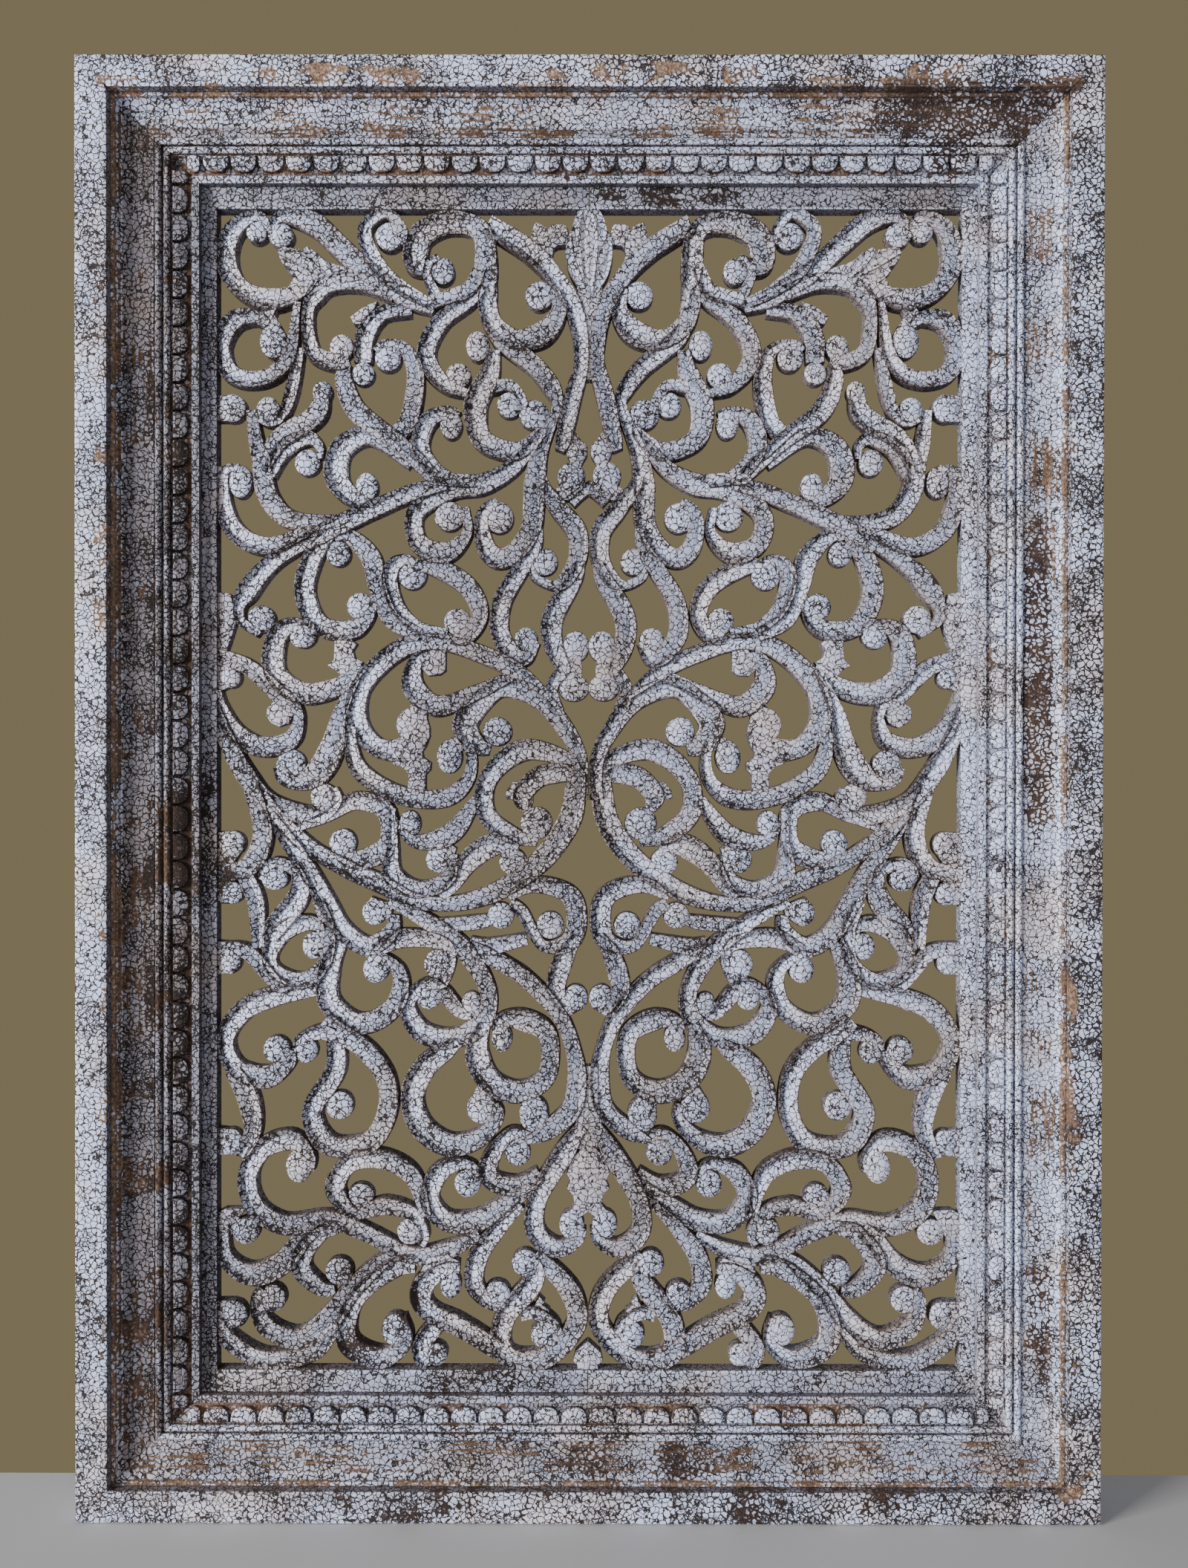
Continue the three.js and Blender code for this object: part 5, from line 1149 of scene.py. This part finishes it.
def crackle_group() -> bpy.types.NodeTree:
    """Cracked paint: islands parted by dark cracks of two sizes, which widen where the paint is worn."""

    def fill(nodes: Nodes, given: Wires) -> dict[str, Wire]:
        """Join the nodes from the place and the widths to the cracks."""
        place, cells = given["Place"], given["Cells"]
        sway = nodes.cloud(place, 210, 2.0)
        centred = nodes.add("ShaderNodeVectorMath", {0: sway["Color"], 1: (0.5, 0.5, 0.5)},
            operation="SUBTRACT").outputs[0]
        shift = nodes.add("ShaderNodeVectorMath", {0: centred, "Scale": 0.0052},
            operation="SCALE").outputs[0]
        bent = nodes.add("ShaderNodeVectorMath", {0: place, 1: shift}, operation="ADD").outputs[0]
        coarse = nodes.to_crack(bent, cells)
        fine = nodes.to_crack(bent, nodes.times(cells, 1.9))
        amount = nodes.cloud(place, 30, 2.0)["Fac"]
        spread = nodes.times(given["Width"], nodes.ramp(given["Bare"], 0.0, 1.0, 1.0, 4.0),
            nodes.ramp(amount, 0.3, 0.7, 0.8, 1.3), nodes.ramp(sway["Fac"], 0.3, 0.7, 0.75, 1.25))
        wide = nodes.ramp(coarse, nodes.times(spread, 0.45), spread, 1.0, 0.0)
        thin = nodes.ramp(fine, nodes.times(spread, 0.25), spread, 1.0, 0.0)
        where_thin = nodes.highest(nodes.ramp(amount, 0.44, 0.58), given["Fine"])
        return {
            "Crack": nodes.highest(wide, nodes.times(thin, where_thin)),
            "Height": nodes.ramp(coarse, 0.03, 0.11, -1.0, 0.0),
        }

    effect = Effect("cracked_paint", values("Cells", "Width", "Fine", "Bare"), values("Crack", "Height"))
    return effect.group(fill)


def wood_group() -> bpy.types.NodeTree:
    """Rubbed dark wood: two tones in fibres, with dark patches."""

    def fill(nodes: Nodes, given: Wires) -> dict[str, Wire]:
        """Join the nodes from the place to the grain."""
        fibres = nodes.ramp(nodes.cloud(given["Place"], 520, 3.0, 0.65)["Fac"], 0.32, 0.7)
        patches = nodes.ramp(nodes.cloud(given["Place"], 38, 2.0)["Fac"], 0.4, 0.72, 0.0, 0.6)
        base = nodes.blend(fibres, given["Dark"], given["Light"])
        return {"Colour": nodes.blend(patches, base, given["Dark"])}

    colours = {"Dark": Socket.COLOUR, "Light": Socket.COLOUR}
    return Effect("rubbed_wood", colours, {"Colour": Socket.COLOUR}).group(fill)


def wear_group() -> bpy.types.NodeTree:
    """How far the paint is rubbed to the wood, and how dense and dark its cracks are."""

    def fill(nodes: Nodes, given: Wires) -> dict[str, Wire]:
        """Join the nodes from the two masks to the worn and the dense places."""
        blots = nodes.cloud(given["Place"], 26, 5.0, 0.68)["Fac"]
        mixed = nodes.times(nodes.minus(blots, 0.5), 1.8)
        raised = nodes.plus(mixed, nodes.times(given["Edge"], 0.06))
        limit = nodes.minus(0.45, given["Amount"])
        full = nodes.plus(limit, 0.34)
        rubbed = nodes.ramp(nodes.plus(raised, nodes.times(given["Rubbed"], 0.5)), limit, full)
        grimy = nodes.ramp(nodes.plus(raised, nodes.times(given["Grimy"], 0.42)), limit, full)
        return {
            "Bare": nodes.times(rubbed, nodes.ramp(given["Rubbed"], 0.0, 0.3, 0.35, 1.0)),
            "Dense": grimy,
        }

    effect = Effect("worn_paint", values("Amount", "Edge", "Rubbed", "Grimy"), values("Bare", "Dense"))
    return effect.group(fill)


def places_group() -> bpy.types.NodeTree:
    """Where a point is on the panel: inwards from the outer edge, out from the wall, and on which side."""

    def fill(nodes: Nodes, given: Wires) -> dict[str, Wire]:
        """Join the nodes from the place to the distances and sides."""
        across, back, height = nodes.add("ShaderNodeSeparateXYZ", {0: given["Place"]}).outputs
        up = nodes.minus(height, given["Middle"])
        from_side = nodes.minus(given["Half width"], nodes.maths("ABSOLUTE", across))
        from_end = nodes.minus(given["Half height"], nodes.maths("ABSOLUTE", up))
        inwards = nodes.maths("MINIMUM", from_side, from_end)
        on_side = nodes.maths("LESS_THAN", from_side, from_end)
        on_end = nodes.minus(1.0, on_side)
        right = nodes.maths("GREATER_THAN", across, 0.0)
        upper = nodes.maths("GREATER_THAN", up, 0.0)
        along = nodes.add("ShaderNodeMix", {0: on_side, 2: across, 3: up}, data_type="FLOAT").outputs[0]
        stretched = nodes.add("ShaderNodeCombineXYZ", {0: nodes.times(along, 0.16),
            1: nodes.times(inwards, 3.0), 2: nodes.times(on_side, 5.0)}).outputs[0]
        normal = nodes.add("ShaderNodeNewGeometry").outputs["Normal"]
        facing = nodes.add("ShaderNodeSeparateXYZ", {0: normal}).outputs[1]
        return {
            "Inwards": inwards,
            "Out": nodes.times(back, -1.0),
            "Across": across,
            "Up": up,
            "Facing": nodes.times(facing, -1.0),
            "Streak": nodes.cloud(stretched, 150, 3.0, 0.6)["Fac"],
            "Top": nodes.times(on_end, upper),
            "Left": nodes.times(on_side, nodes.minus(1.0, right)),
            "Bottom": nodes.times(on_end, nodes.minus(1.0, upper)),
            "Right": nodes.times(on_side, right),
        }

    gives = values("Inwards", "Out", "Across", "Up", "Facing", "Streak", "Top", "Left", "Bottom", "Right")
    return Effect("panel_places", values("Half width", "Half height", "Middle"), gives).group(fill)


@dataclass
class Effects:
    """The node groups that the finishes share."""

    crackle: bpy.types.NodeTree = field(default_factory=crackle_group)
    wood: bpy.types.NodeTree = field(default_factory=wood_group)
    wear: bpy.types.NodeTree = field(default_factory=wear_group)
    places: bpy.types.NodeTree = field(default_factory=places_group)


@dataclass(frozen=True)
class Stain:
    """A soft oval place on the panel that differs from the rest, in metres from the panel's middle.

    One that names a side of the frame ends at that side's mitres.
    """

    across: float
    up: float
    half_width: float
    half_height: float
    strength: float = 1.0
    side: Side | None = None


Stains = tuple[Stain, ...]
Weights = tuple[float, float, float, float]
NOWHERE: Weights = (0.0, 0.0, 0.0, 0.0)


@dataclass(frozen=True)
class Member:
    """A strip of the frame between two distances inwards, with its own wear, and its own soiling and
    painted shade, on each side.

    The weights are for the top, left, bottom and right sides. A broken strip comes and goes along its
    length, and one that has a ceiling counts only below that distance out from the wall.
    """

    start: float
    end: float
    bare: Weights = NOWHERE
    # Soil and painted shade on each side.
    soil_and_shade: Weights = NOWHERE
    broken: float = 0.6
    soft: float = 0.6 * MM
    ceiling: float = 0.0

    def mask(self, nodes: Nodes, where: Wires, streak: Wire) -> Wire:
        """How far a point is inside the strip.

        Args:
            nodes: the material's tree.
            where: the panel's own places.
            streak: where a broken strip is whole, from 0 to 1.

        Returns:
            A value from 0 to 1.
        """
        begun = nodes.ramp(where["Inwards"], self.start - self.soft, self.start + self.soft)
        ended = nodes.ramp(where["Inwards"], self.end - self.soft, self.end + self.soft, 1.0, 0.0)
        whole = nodes.plus(nodes.times(streak, self.broken), 1.0 - self.broken)
        strip = nodes.times(begun, ended, whole)
        if self.ceiling:
            below = nodes.ramp(where["Out"], self.ceiling - 0.8 * MM, self.ceiling, 1.0, 0.0)
            strip = nodes.times(strip, below)
        return strip


@dataclass(frozen=True)
class CrackedPaint:
    """White paint in cracked islands over dark wood, rubbed, grimy and darkened with painted shade, for
    one part of the panel.
    """

    name: str
    paint: Colour = srgb(214, 224, 255)
    warm_paint: Colour = srgb(220, 215, 225)
    crack: Colour = srgb(46, 38, 36)
    # Laid over the paint for soil and for painted shade.
    soil_and_shade: Colour = srgb(132, 116, 104)
    edge_tan: Colour = srgb(190, 164, 146)
    wood_dark: Colour = srgb(98, 76, 62)
    wood_light: Colour = srgb(178, 147, 122)
    umber: Colour = srgb(56, 39, 34)
    cells: float = 270.0
    crack_width: float = 0.105
    broad_width: float = 1.0
    left_width: float = 1.0
    right_width: float = 0.72
    worn: float = 0.24
    face_level: float = 0.019
    # How far below the face the grime and painted shade of low places reach.
    grime_and_shade_reach: float = 0.010
    bump_strength: float = 0.7
    bump_distance: float = 0.0007
    paint_roughness: float = 0.5
    crack_roughness: float = 0.82
    shine: float = 0.35
    bare_places: Stains = ()
    dense_places: Stains = ()
    soiled_and_shaded_places: Stains = ()
    members: tuple[Member, ...] = ()

    def material(self, effects: Effects, frame: PanelFrame) -> bpy.types.Material:
        """Make the material.

        Args:
            effects: the shared node groups.
            frame: the panel's main places.

        Returns:
            The material.
        """
        made = bpy.data.materials.new(self.name)
        made.use_nodes = True
        made.node_tree.nodes.clear()
        nodes = Nodes(made.node_tree)
        place = nodes.add("ShaderNodeTexCoord").outputs["Object"]
        where = nodes.placed(effects.places, {"Place": place, "Half width": frame.half_width,
            "Half height": frame.half_height, "Middle": frame.middle_up})
        carve = nodes.add("ShaderNodeAttribute", attribute_name=CARVE, attribute_type="GEOMETRY")
        strip, edge, crease = nodes.add("ShaderNodeSeparateColor", {0: carve.outputs["Color"]}).outputs
        bare_mask, soil_and_shade_mask = self.masks(nodes, where)
        wear = nodes.placed(effects.wear, {"Place": place, "Amount": self.worn, "Edge": edge,
            "Rubbed": bare_mask, "Grimy": self.stained(nodes, where, self.dense_places)})
        bare, dense = wear["Bare"], wear["Dense"]
        width = nodes.times(nodes.ramp(where["Across"], -0.3, 0.33, self.left_width * self.crack_width,
            self.right_width * self.crack_width), nodes.ramp(strip, 0.0, 0.8, self.broad_width, 1.15))
        crackle = nodes.placed(effects.crackle, {"Place": place, "Cells": self.cells, "Width": width,
            "Fine": nodes.highest(strip, crease), "Bare": nodes.highest(bare, nodes.times(dense, 0.7))})
        wood = nodes.placed(effects.wood, {"Place": place, "Dark": self.wood_dark,
            "Light": self.wood_light})
        warmth = nodes.ramp(nodes.cloud(place, 17, 2.0)["Fac"], 0.42, 0.68)
        paint = nodes.blend(warmth, self.paint, self.warm_paint)
        paint = nodes.blend(nodes.times(edge, 0.6), paint, self.edge_tan)
        ground = nodes.blend(nodes.ramp(bare, 0.1, 0.7), self.crack, wood["Colour"])
        ground = nodes.blend(nodes.times(dense, 0.8), ground, self.umber)
        colour = nodes.blend(crackle["Crack"], paint, ground)
        # Grime together with painted shade, laid into recesses, steep walls and creases.
        grime_and_shade_colour = nodes.blend(0.35, self.crack, self.wood_dark)
        colour = nodes.blend(self.grime_and_shade(nodes, where, crease, bare), colour, grime_and_shade_colour)
        # Painted shade with soil: the strip mark darkens each ribbon's narrow facet as if it were in
        # shade, and the members darken the sides that face away from the key lamp.
        soiled_and_shaded = nodes.highest(soil_and_shade_mask, nodes.times(strip, 0.62))
        colour = nodes.blend(soiled_and_shaded, colour, nodes.blend(1.0, colour, self.soil_and_shade, mode="MULTIPLY"))
        bump = nodes.add("ShaderNodeBump", {"Strength": self.bump_strength,
            "Distance": self.bump_distance, "Height": crackle["Height"]})
        rough = nodes.ramp(crackle["Crack"], 0.0, 1.0, self.paint_roughness, self.crack_roughness)
        shader = nodes.add("ShaderNodeBsdfPrincipled", {"Base Color": colour, "Roughness": rough,
            "Normal": bump.outputs[0], "Specular IOR Level": self.shine})
        nodes.add("ShaderNodeOutputMaterial", {"Surface": shader.outputs[0]})
        return made

    def grime_and_shade(self, nodes: Nodes, where: Wires, crease: Wire, bare: Wire) -> Wire:
        """How much grime and painted shade lie in low places, on steep walls and in creases, where shade
        falls; less at the lit right side and on bare wood.

        Args:
            nodes: the material's tree.
            where: the panel's own places.
            crease: the mark of a crease in the carving.
            bare: how far the paint is rubbed away.

        Returns:
            A value from 0 to 1.
        """
        steep = nodes.times(nodes.ramp(where["Facing"], 0.15, 0.7, 0.8, 0.0),
            nodes.ramp(where["Inwards"], 1.0 * MM, 3.0 * MM, 0.3, 1.0))
        low = nodes.ramp(where["Out"], self.face_level - self.grime_and_shade_reach, self.face_level - 1 * MM,
            0.8, 0.0)
        # Less painted shade at the right, which the key lamp lights, and less grime on bare wood.
        less_at_lit_right_and_bare = nodes.times(nodes.ramp(where["Across"], 0.235, 0.29, 1.0, 0.42),
            nodes.ramp(bare, 0.2, 0.9, 1.0, 0.35))
        return nodes.times(nodes.highest(low, steep, nodes.times(crease, 0.42)), less_at_lit_right_and_bare)

    def masks(self, nodes: Nodes, where: Wires) -> tuple[Setting, Setting]:
        """Where the finish is worn, and where it is darkened beyond the rest by soil and painted shade.

        Args:
            nodes: the material's tree.
            where: the panel's own places.

        Returns:
            Two values from 0 to 1.
        """
        bare = self.stained(nodes, where, self.bare_places)
        soil_and_shade = self.stained(nodes, where, self.soiled_and_shaded_places)
        streak = nodes.ramp(where["Streak"], 0.38, 0.6)
        for member in self.members:
            strip = member.mask(nodes, where, streak)
            if any(member.bare):
                bare = nodes.highest(nodes.times(strip, self.weighed(nodes, where, member.bare)), bare)
            if any(member.soil_and_shade):
                soil_and_shade = nodes.highest(nodes.times(strip, self.weighed(nodes, where, member.soil_and_shade)), soil_and_shade)
        return bare, soil_and_shade

    @staticmethod
    def weighed(nodes: Nodes, where: Wires, weights: Weights) -> Setting:
        """The weight of the side that a point is on."""
        total: Setting = 0.0
        for side, weight in zip(Side, weights):
            if weight:
                total = nodes.plus(nodes.times(where[side.label], weight), total)
        return total

    @staticmethod
    def stained(nodes: Nodes, where: Wires, stains: Stains) -> Setting:
        """How far a point is inside one of some soft ovals, from 0 to 1."""
        total: Setting = 0.0
        for stain in stains:
            across = nodes.maths("DIVIDE", nodes.minus(where["Across"], stain.across), stain.half_width)
            up = nodes.maths("DIVIDE", nodes.minus(where["Up"], stain.up), stain.half_height)
            squares = nodes.plus(nodes.times(across, across), nodes.times(up, up))
            share = nodes.ramp(squares, 0.15, 1.0, stain.strength, 0.0)
            if stain.side:
                share = nodes.times(share, where[stain.side.label])
            total = nodes.highest(share, total)
        return total


@dataclass(frozen=True)
class Camera:
    """The photograph's viewpoint: turns in radians and a shift in millimetres from the panel's front."""

    turns: Triple = (0.0048, -0.0017, -0.0013)
    shift: Triple = (-3.746, -5.060, -807.8)
    lens: float = 36.0
    sensor: float = 36.0

    def place(self, frame: PanelFrame) -> None:
        """Set the scene's camera up."""
        to_camera = Matrix.Translation(Vector(self.shift) * MM)
        for axis, turn in zip("XYZ", self.turns):
            to_camera = to_camera @ Matrix.Rotation(turn, 4, axis)
        front = frame.to_world() @ Matrix.Translation((0, 0, frame.depth))
        data = bpy.data.cameras.new("camera")
        data.lens = self.lens
        data.sensor_width = self.sensor
        data.sensor_fit = "HORIZONTAL"
        made = linked("camera", data)
        made.matrix_world = front @ to_camera.inverted()
        bpy.context.scene.camera = made


@dataclass(frozen=True)
class Lamp:
    """A square soft lamp that looks at the panel's middle."""

    name: str
    place: Triple
    size: float
    power: float
    colour: Triple

    def hang(self, target: Vector) -> None:
        """Add the lamp to the scene, turned to its target."""
        data = bpy.data.lights.new(self.name, "AREA")
        data.size = self.size
        data.energy = self.power
        data.color = self.colour
        made = linked(self.name, data)
        made.location = self.place
        made.rotation_euler = (target - Vector(self.place)).to_track_quat("-Z", "Y").to_euler()


@dataclass(frozen=True)
class Studio:
    """The pale floor, the soft surroundings and the lamps."""

    frame: PanelFrame
    floor_size: float = 1.3
    floor_edge: float = 0.02
    floor_gap: float = 0.5 * MM
    floor_paint: Colour = srgb(196, 195, 194)
    floor_roughness: float = 0.9
    # Painted shade: the wall behind, as the camera sees it in shade.
    shaded_wall_colour: Colour = srgb(122, 112, 86)
    light_around: Colour = (0.185, 0.185, 0.2, 1.0)
    lamps: tuple[Lamp, ...] = (
        Lamp("key", (-4.0, -2.5, 0.0), 1.7, 400.0, (1.0, 0.985, 0.965)),
        Lamp("fill", (0.8, -3.4, 0.4), 2.0, 40.0, (0.93, 0.96, 1.0)),
    )

    def floor(self) -> None:
        """A square pale floor under the panel, which ends just behind it."""
        shape = bmesh.new()
        bmesh.ops.create_grid(shape, x_segments=1, y_segments=1, size=self.floor_size)
        under = self.frame.middle_up - self.frame.half_height - self.floor_gap
        bmesh.ops.translate(shape, vec=(0, self.floor_edge - self.floor_size, under), verts=shape.verts)
        data = stored(shape, "floor")
        made = linked("floor", data)
        finish = bpy.data.materials.new("floor_paint")
        finish.use_nodes = True
        shader = finish.node_tree.nodes["Principled BSDF"]
        shader.inputs["Base Color"].default_value = self.floor_paint
        shader.inputs["Roughness"].default_value = self.floor_roughness
        data.materials.append(finish)
        made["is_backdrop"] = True

    def surroundings(self) -> None:
        """A soft cool light from all round; camera rays see painted shade instead: the wall behind, dark
        olive as it is in shade.
        """
        world = bpy.data.worlds.new("surroundings")
        world.use_nodes = True
        world.node_tree.nodes.clear()
        nodes = Nodes(world.node_tree)
        felt, painted_wall_shade = (nodes.add("ShaderNodeBackground", {"Color": colour, "Strength": 1.0}).outputs[0]
            for colour in (self.light_around, self.shaded_wall_colour))
        camera = nodes.add("ShaderNodeLightPath").outputs["Is Camera Ray"]
        both = nodes.add("ShaderNodeMixShader", {0: camera, 1: felt, 2: painted_wall_shade})
        nodes.add("ShaderNodeOutputWorld", {"Surface": both.outputs[0]})
        bpy.context.scene.world = world

    def build(self) -> None:
        """Set everything up."""
        self.floor()
        self.surroundings()
        for lamp in self.lamps:
            lamp.hang(Vector((0, -self.frame.depth, self.frame.middle_up)))


@dataclass
class ReliefPanel:
    """The whole panel."""

    frame: PanelFrame
    effects: Effects
    corner: Stain = Stain(0.315, -0.465, 0.06, 0.03, 0.45)

    def carving(self) -> CrackedPaint:
        """The finish of the carved boards, darkened by painted shade and soil, most at the left and along
        the rails beside the frame.
        """
        # The rails member paints the shade that the frame casts on the border, with soil: most at the
        # left, none at the lit right.
        rails = Member(79 * MM, 94 * MM, (0.1, 0.1, 0.0, 0.0), (0.75, 0.9, 0.5, 0.0), 0.15, 1.5 * MM)
        soiled_and_shaded = (
            Stain(-0.04, 0.12, 0.13, 0.3, 0.38),
            Stain(-0.2, -0.33, 0.1, 0.08, 0.4),
            Stain(0.02, -0.2, 0.1, 0.2, 0.25),
        )
        dense = (
            Stain(0.06, 0.415, 0.09, 0.012, 1.0),
            Stain(-0.07, -0.412, 0.06, 0.012, 1.0),
            Stain(-0.17, -0.36, 0.07, 0.05, 0.7),
            Stain(-0.26, -0.1, 0.02, 0.2, 0.6),
        )
        return CrackedPaint("carving_paint", cells=255.0, crack_width=0.125, broad_width=0.7,
            soiled_and_shaded_places=soiled_and_shaded, dense_places=dense, members=(rails,))

    def moulding(self) -> CrackedPaint:
        """The finish of the moulding, from the fillet inwards."""
        right_cove = Stain(0.309, 0.05, 0.012, 0.15, 0.7)
        left_low = Stain(-0.31, -0.3, 0.03, 0.18, 0.5)
        top_right = Stain(0.28, 0.456, 0.13, 0.05, 1.15, Side.TOP)
        top_middle = Stain(-0.03, 0.43, 0.1, 0.012, 0.6)
        bottom_left = Stain(-0.1, -0.41, 0.12, 0.02, 0.9)
        bottom_cove = Stain(0.05, -0.462, 0.24, 0.02, 0.6)
        bottom_dark = Stain(0.02, -0.45, 0.14, 0.03, 0.62, Side.BOTTOM)
        left_flat = Stain(-0.303, 0.0, 0.006, 0.6, 0.8)
        left_groove = Stain(-0.282, 0.0, 0.008, 0.6, 0.8)
        right_flat = Stain(0.309, 0.0, 0.008, 0.45, 0.5)
        right_dark = Stain(0.309, 0.06, 0.016, 0.17, 1.2, Side.RIGHT)
        right_foot = Stain(0.312, -0.36, 0.012, 0.12, 0.8, Side.RIGHT)
        fine = 0.3 * MM
        # The soil weights, highest at the left, are painted shade with soil: the left moulding faces away
        # from the key lamp. The second member also paints the shade at the top of the cove.
        members = (
            Member(21 * MM, 25.8 * MM, (1.1, 1.3, 0.9, 1.0), (0.5, 0.4, 0.2, 0.1), 0.25),
            Member(25.8 * MM, 28.4 * MM, (0.1, 1.0, 0.1, 0.1), (0.45, 0.9, 0.4, 0.0), 0.2, 1.2 * MM),
            Member(28.4 * MM, 49 * MM, (0.0, 0.2, 0.0, 0.0), (0.1, 0.95, 0.55, 0.05), 0.1),
            Member(28.4 * MM, 49 * MM, (0.75, 0.65, 0.8, 0.62), (0.45, 0.0, 0.5, 0.4), 1.0, 1.2 * MM),
            Member(36 * MM, 40 * MM, (0.1, 0.5, 0.0, 0.5), (0.0, 0.0, 0.0, 0.3), 0.8, 1.2 * MM),
            Member(43 * MM, 49.5 * MM, (0.9, 0.5, 0.4, 0.2), (0.85, 1.0, 0.4, 0.35), 0.5, 1.2 * MM),
            Member(49 * MM, 50.8 * MM, (0.8, 0.7, 0.6, 0.3), (0.7, 1.0, 0.8, 0.3), 0.2, fine),
            Member(49 * MM, 73 * MM, (0.25, 0.4, 0.1, 0.0), (0.25, 1.0, 0.2, 0.0), 0.3),
            Member(55.1 * MM, 56.9 * MM, (0.5, 0.6, 0.5, 0.2), (0.8, 1.0, 0.8, 0.3), 0.2, fine),
            Member(61.2 * MM, 63.4 * MM, (0.9, 0.8, 0.7, 0.4), (0.7, 1.0, 0.7, 0.3), 0.2, fine),
            Member(62 * MM, 74 * MM, (0.7, 0.7, 0.6, 0.35), (0.6, 1.0, 0.45, 0.6), 0.1, fine, 26.4 * MM),
            Member(71.8 * MM, 75 * MM, (0.9, 1.0, 0.7, 0.4), (0.4, 1.0, 0.4, 0.1), 0.3),
            Member(75 * MM, 80 * MM, (0.1, 0.2, 0.0, 0.0), (0.1, 0.85, 0.4, 0.0), 0.3),
        )
        return CrackedPaint("moulding_paint", face_level=self.frame.depth - 0.0125, grime_and_shade_reach=0.006,
            bare_places=(right_cove, self.corner, left_low),
            dense_places=(top_right, top_middle, bottom_left, bottom_cove, bottom_dark, left_flat,
                left_groove, right_flat, right_dark, right_foot),
            members=members)

    def band(self) -> CrackedPaint:
        """The finish of the flat outer boards."""
        inner_edge = Member(14 * MM, 24 * MM, (0.75, 0.45, 0.5, 0.4), (0.1, 0.1, 0.45, 0.1), 0.85, 3 * MM)
        right_low = Stain(0.326, -0.15, 0.009, 0.13, 0.7)
        left_upper = Stain(-0.33, 0.2, 0.012, 0.16, 0.5)
        top = (
            Stain(-0.17, 0.485, 0.1, 0.011, 0.7),
            Stain(0.04, 0.488, 0.13, 0.009, 0.6),
            Stain(0.235, 0.489, 0.03, 0.012, 0.7),
        )
        dense = (
            Stain(0.26, 0.476, 0.1, 0.014, 0.8),
            Stain(0.0, -0.486, 0.36, 0.02, 0.75),
        )
        return CrackedPaint("band_paint", cells=265.0, crack_width=0.135, left_width=0.72,
            right_width=1.0, face_level=self.frame.depth, grime_and_shade_reach=0.05,
            bare_places=(right_low, self.corner, left_upper, *top), dense_places=dense,
            members=(inner_edge,))

    def build(self) -> list[bpy.types.Object]:
        """Make every piece.

        Returns:
            The finished objects.
        """
        carving, moulding, band = (finish.material(self.effects, self.frame)
            for finish in (self.carving(), self.moulding(), self.band()))
        made = []
        to_world = self.frame.to_world()
        for hand, word in ((1, "right"), (-1, "left")):
            piece = Piece(f"arabesque_{word}", "carving_paint", carving, (f"carved_board_{word}",))
            made.append(piece.finish(CarvedBoard(self.frame, hand).mesh(), to_world))
        for side in Side:
            word = side.word
            piece = Piece(f"moulded_length_{word}", "moulding_paint", moulding, (f"moulding_{word}",))
            made.append(piece.finish(Moulding(self.frame, side).mesh(), to_world))
            piece = Piece(f"flat_board_{word}", "band_paint", band, (f"outer_board_{word}",))
            made.append(piece.finish(OuterBoard(self.frame, side).mesh(), to_world))
        return made


def main() -> None:
    """Build the panel in its studio and report each piece."""
    logging.basicConfig(level=logging.INFO, format="%(message)s")
    noise.seed_set(SEED)
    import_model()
    frame = PanelFrame.from_solids()
    Camera().place(frame)
    Studio(frame).build()
    pieces = ReliefPanel(frame, Effects()).build()
    bpy.context.view_layer.update()
    LOG.info("%d pieces", len(pieces))


if __name__ == "__main__":
    main()
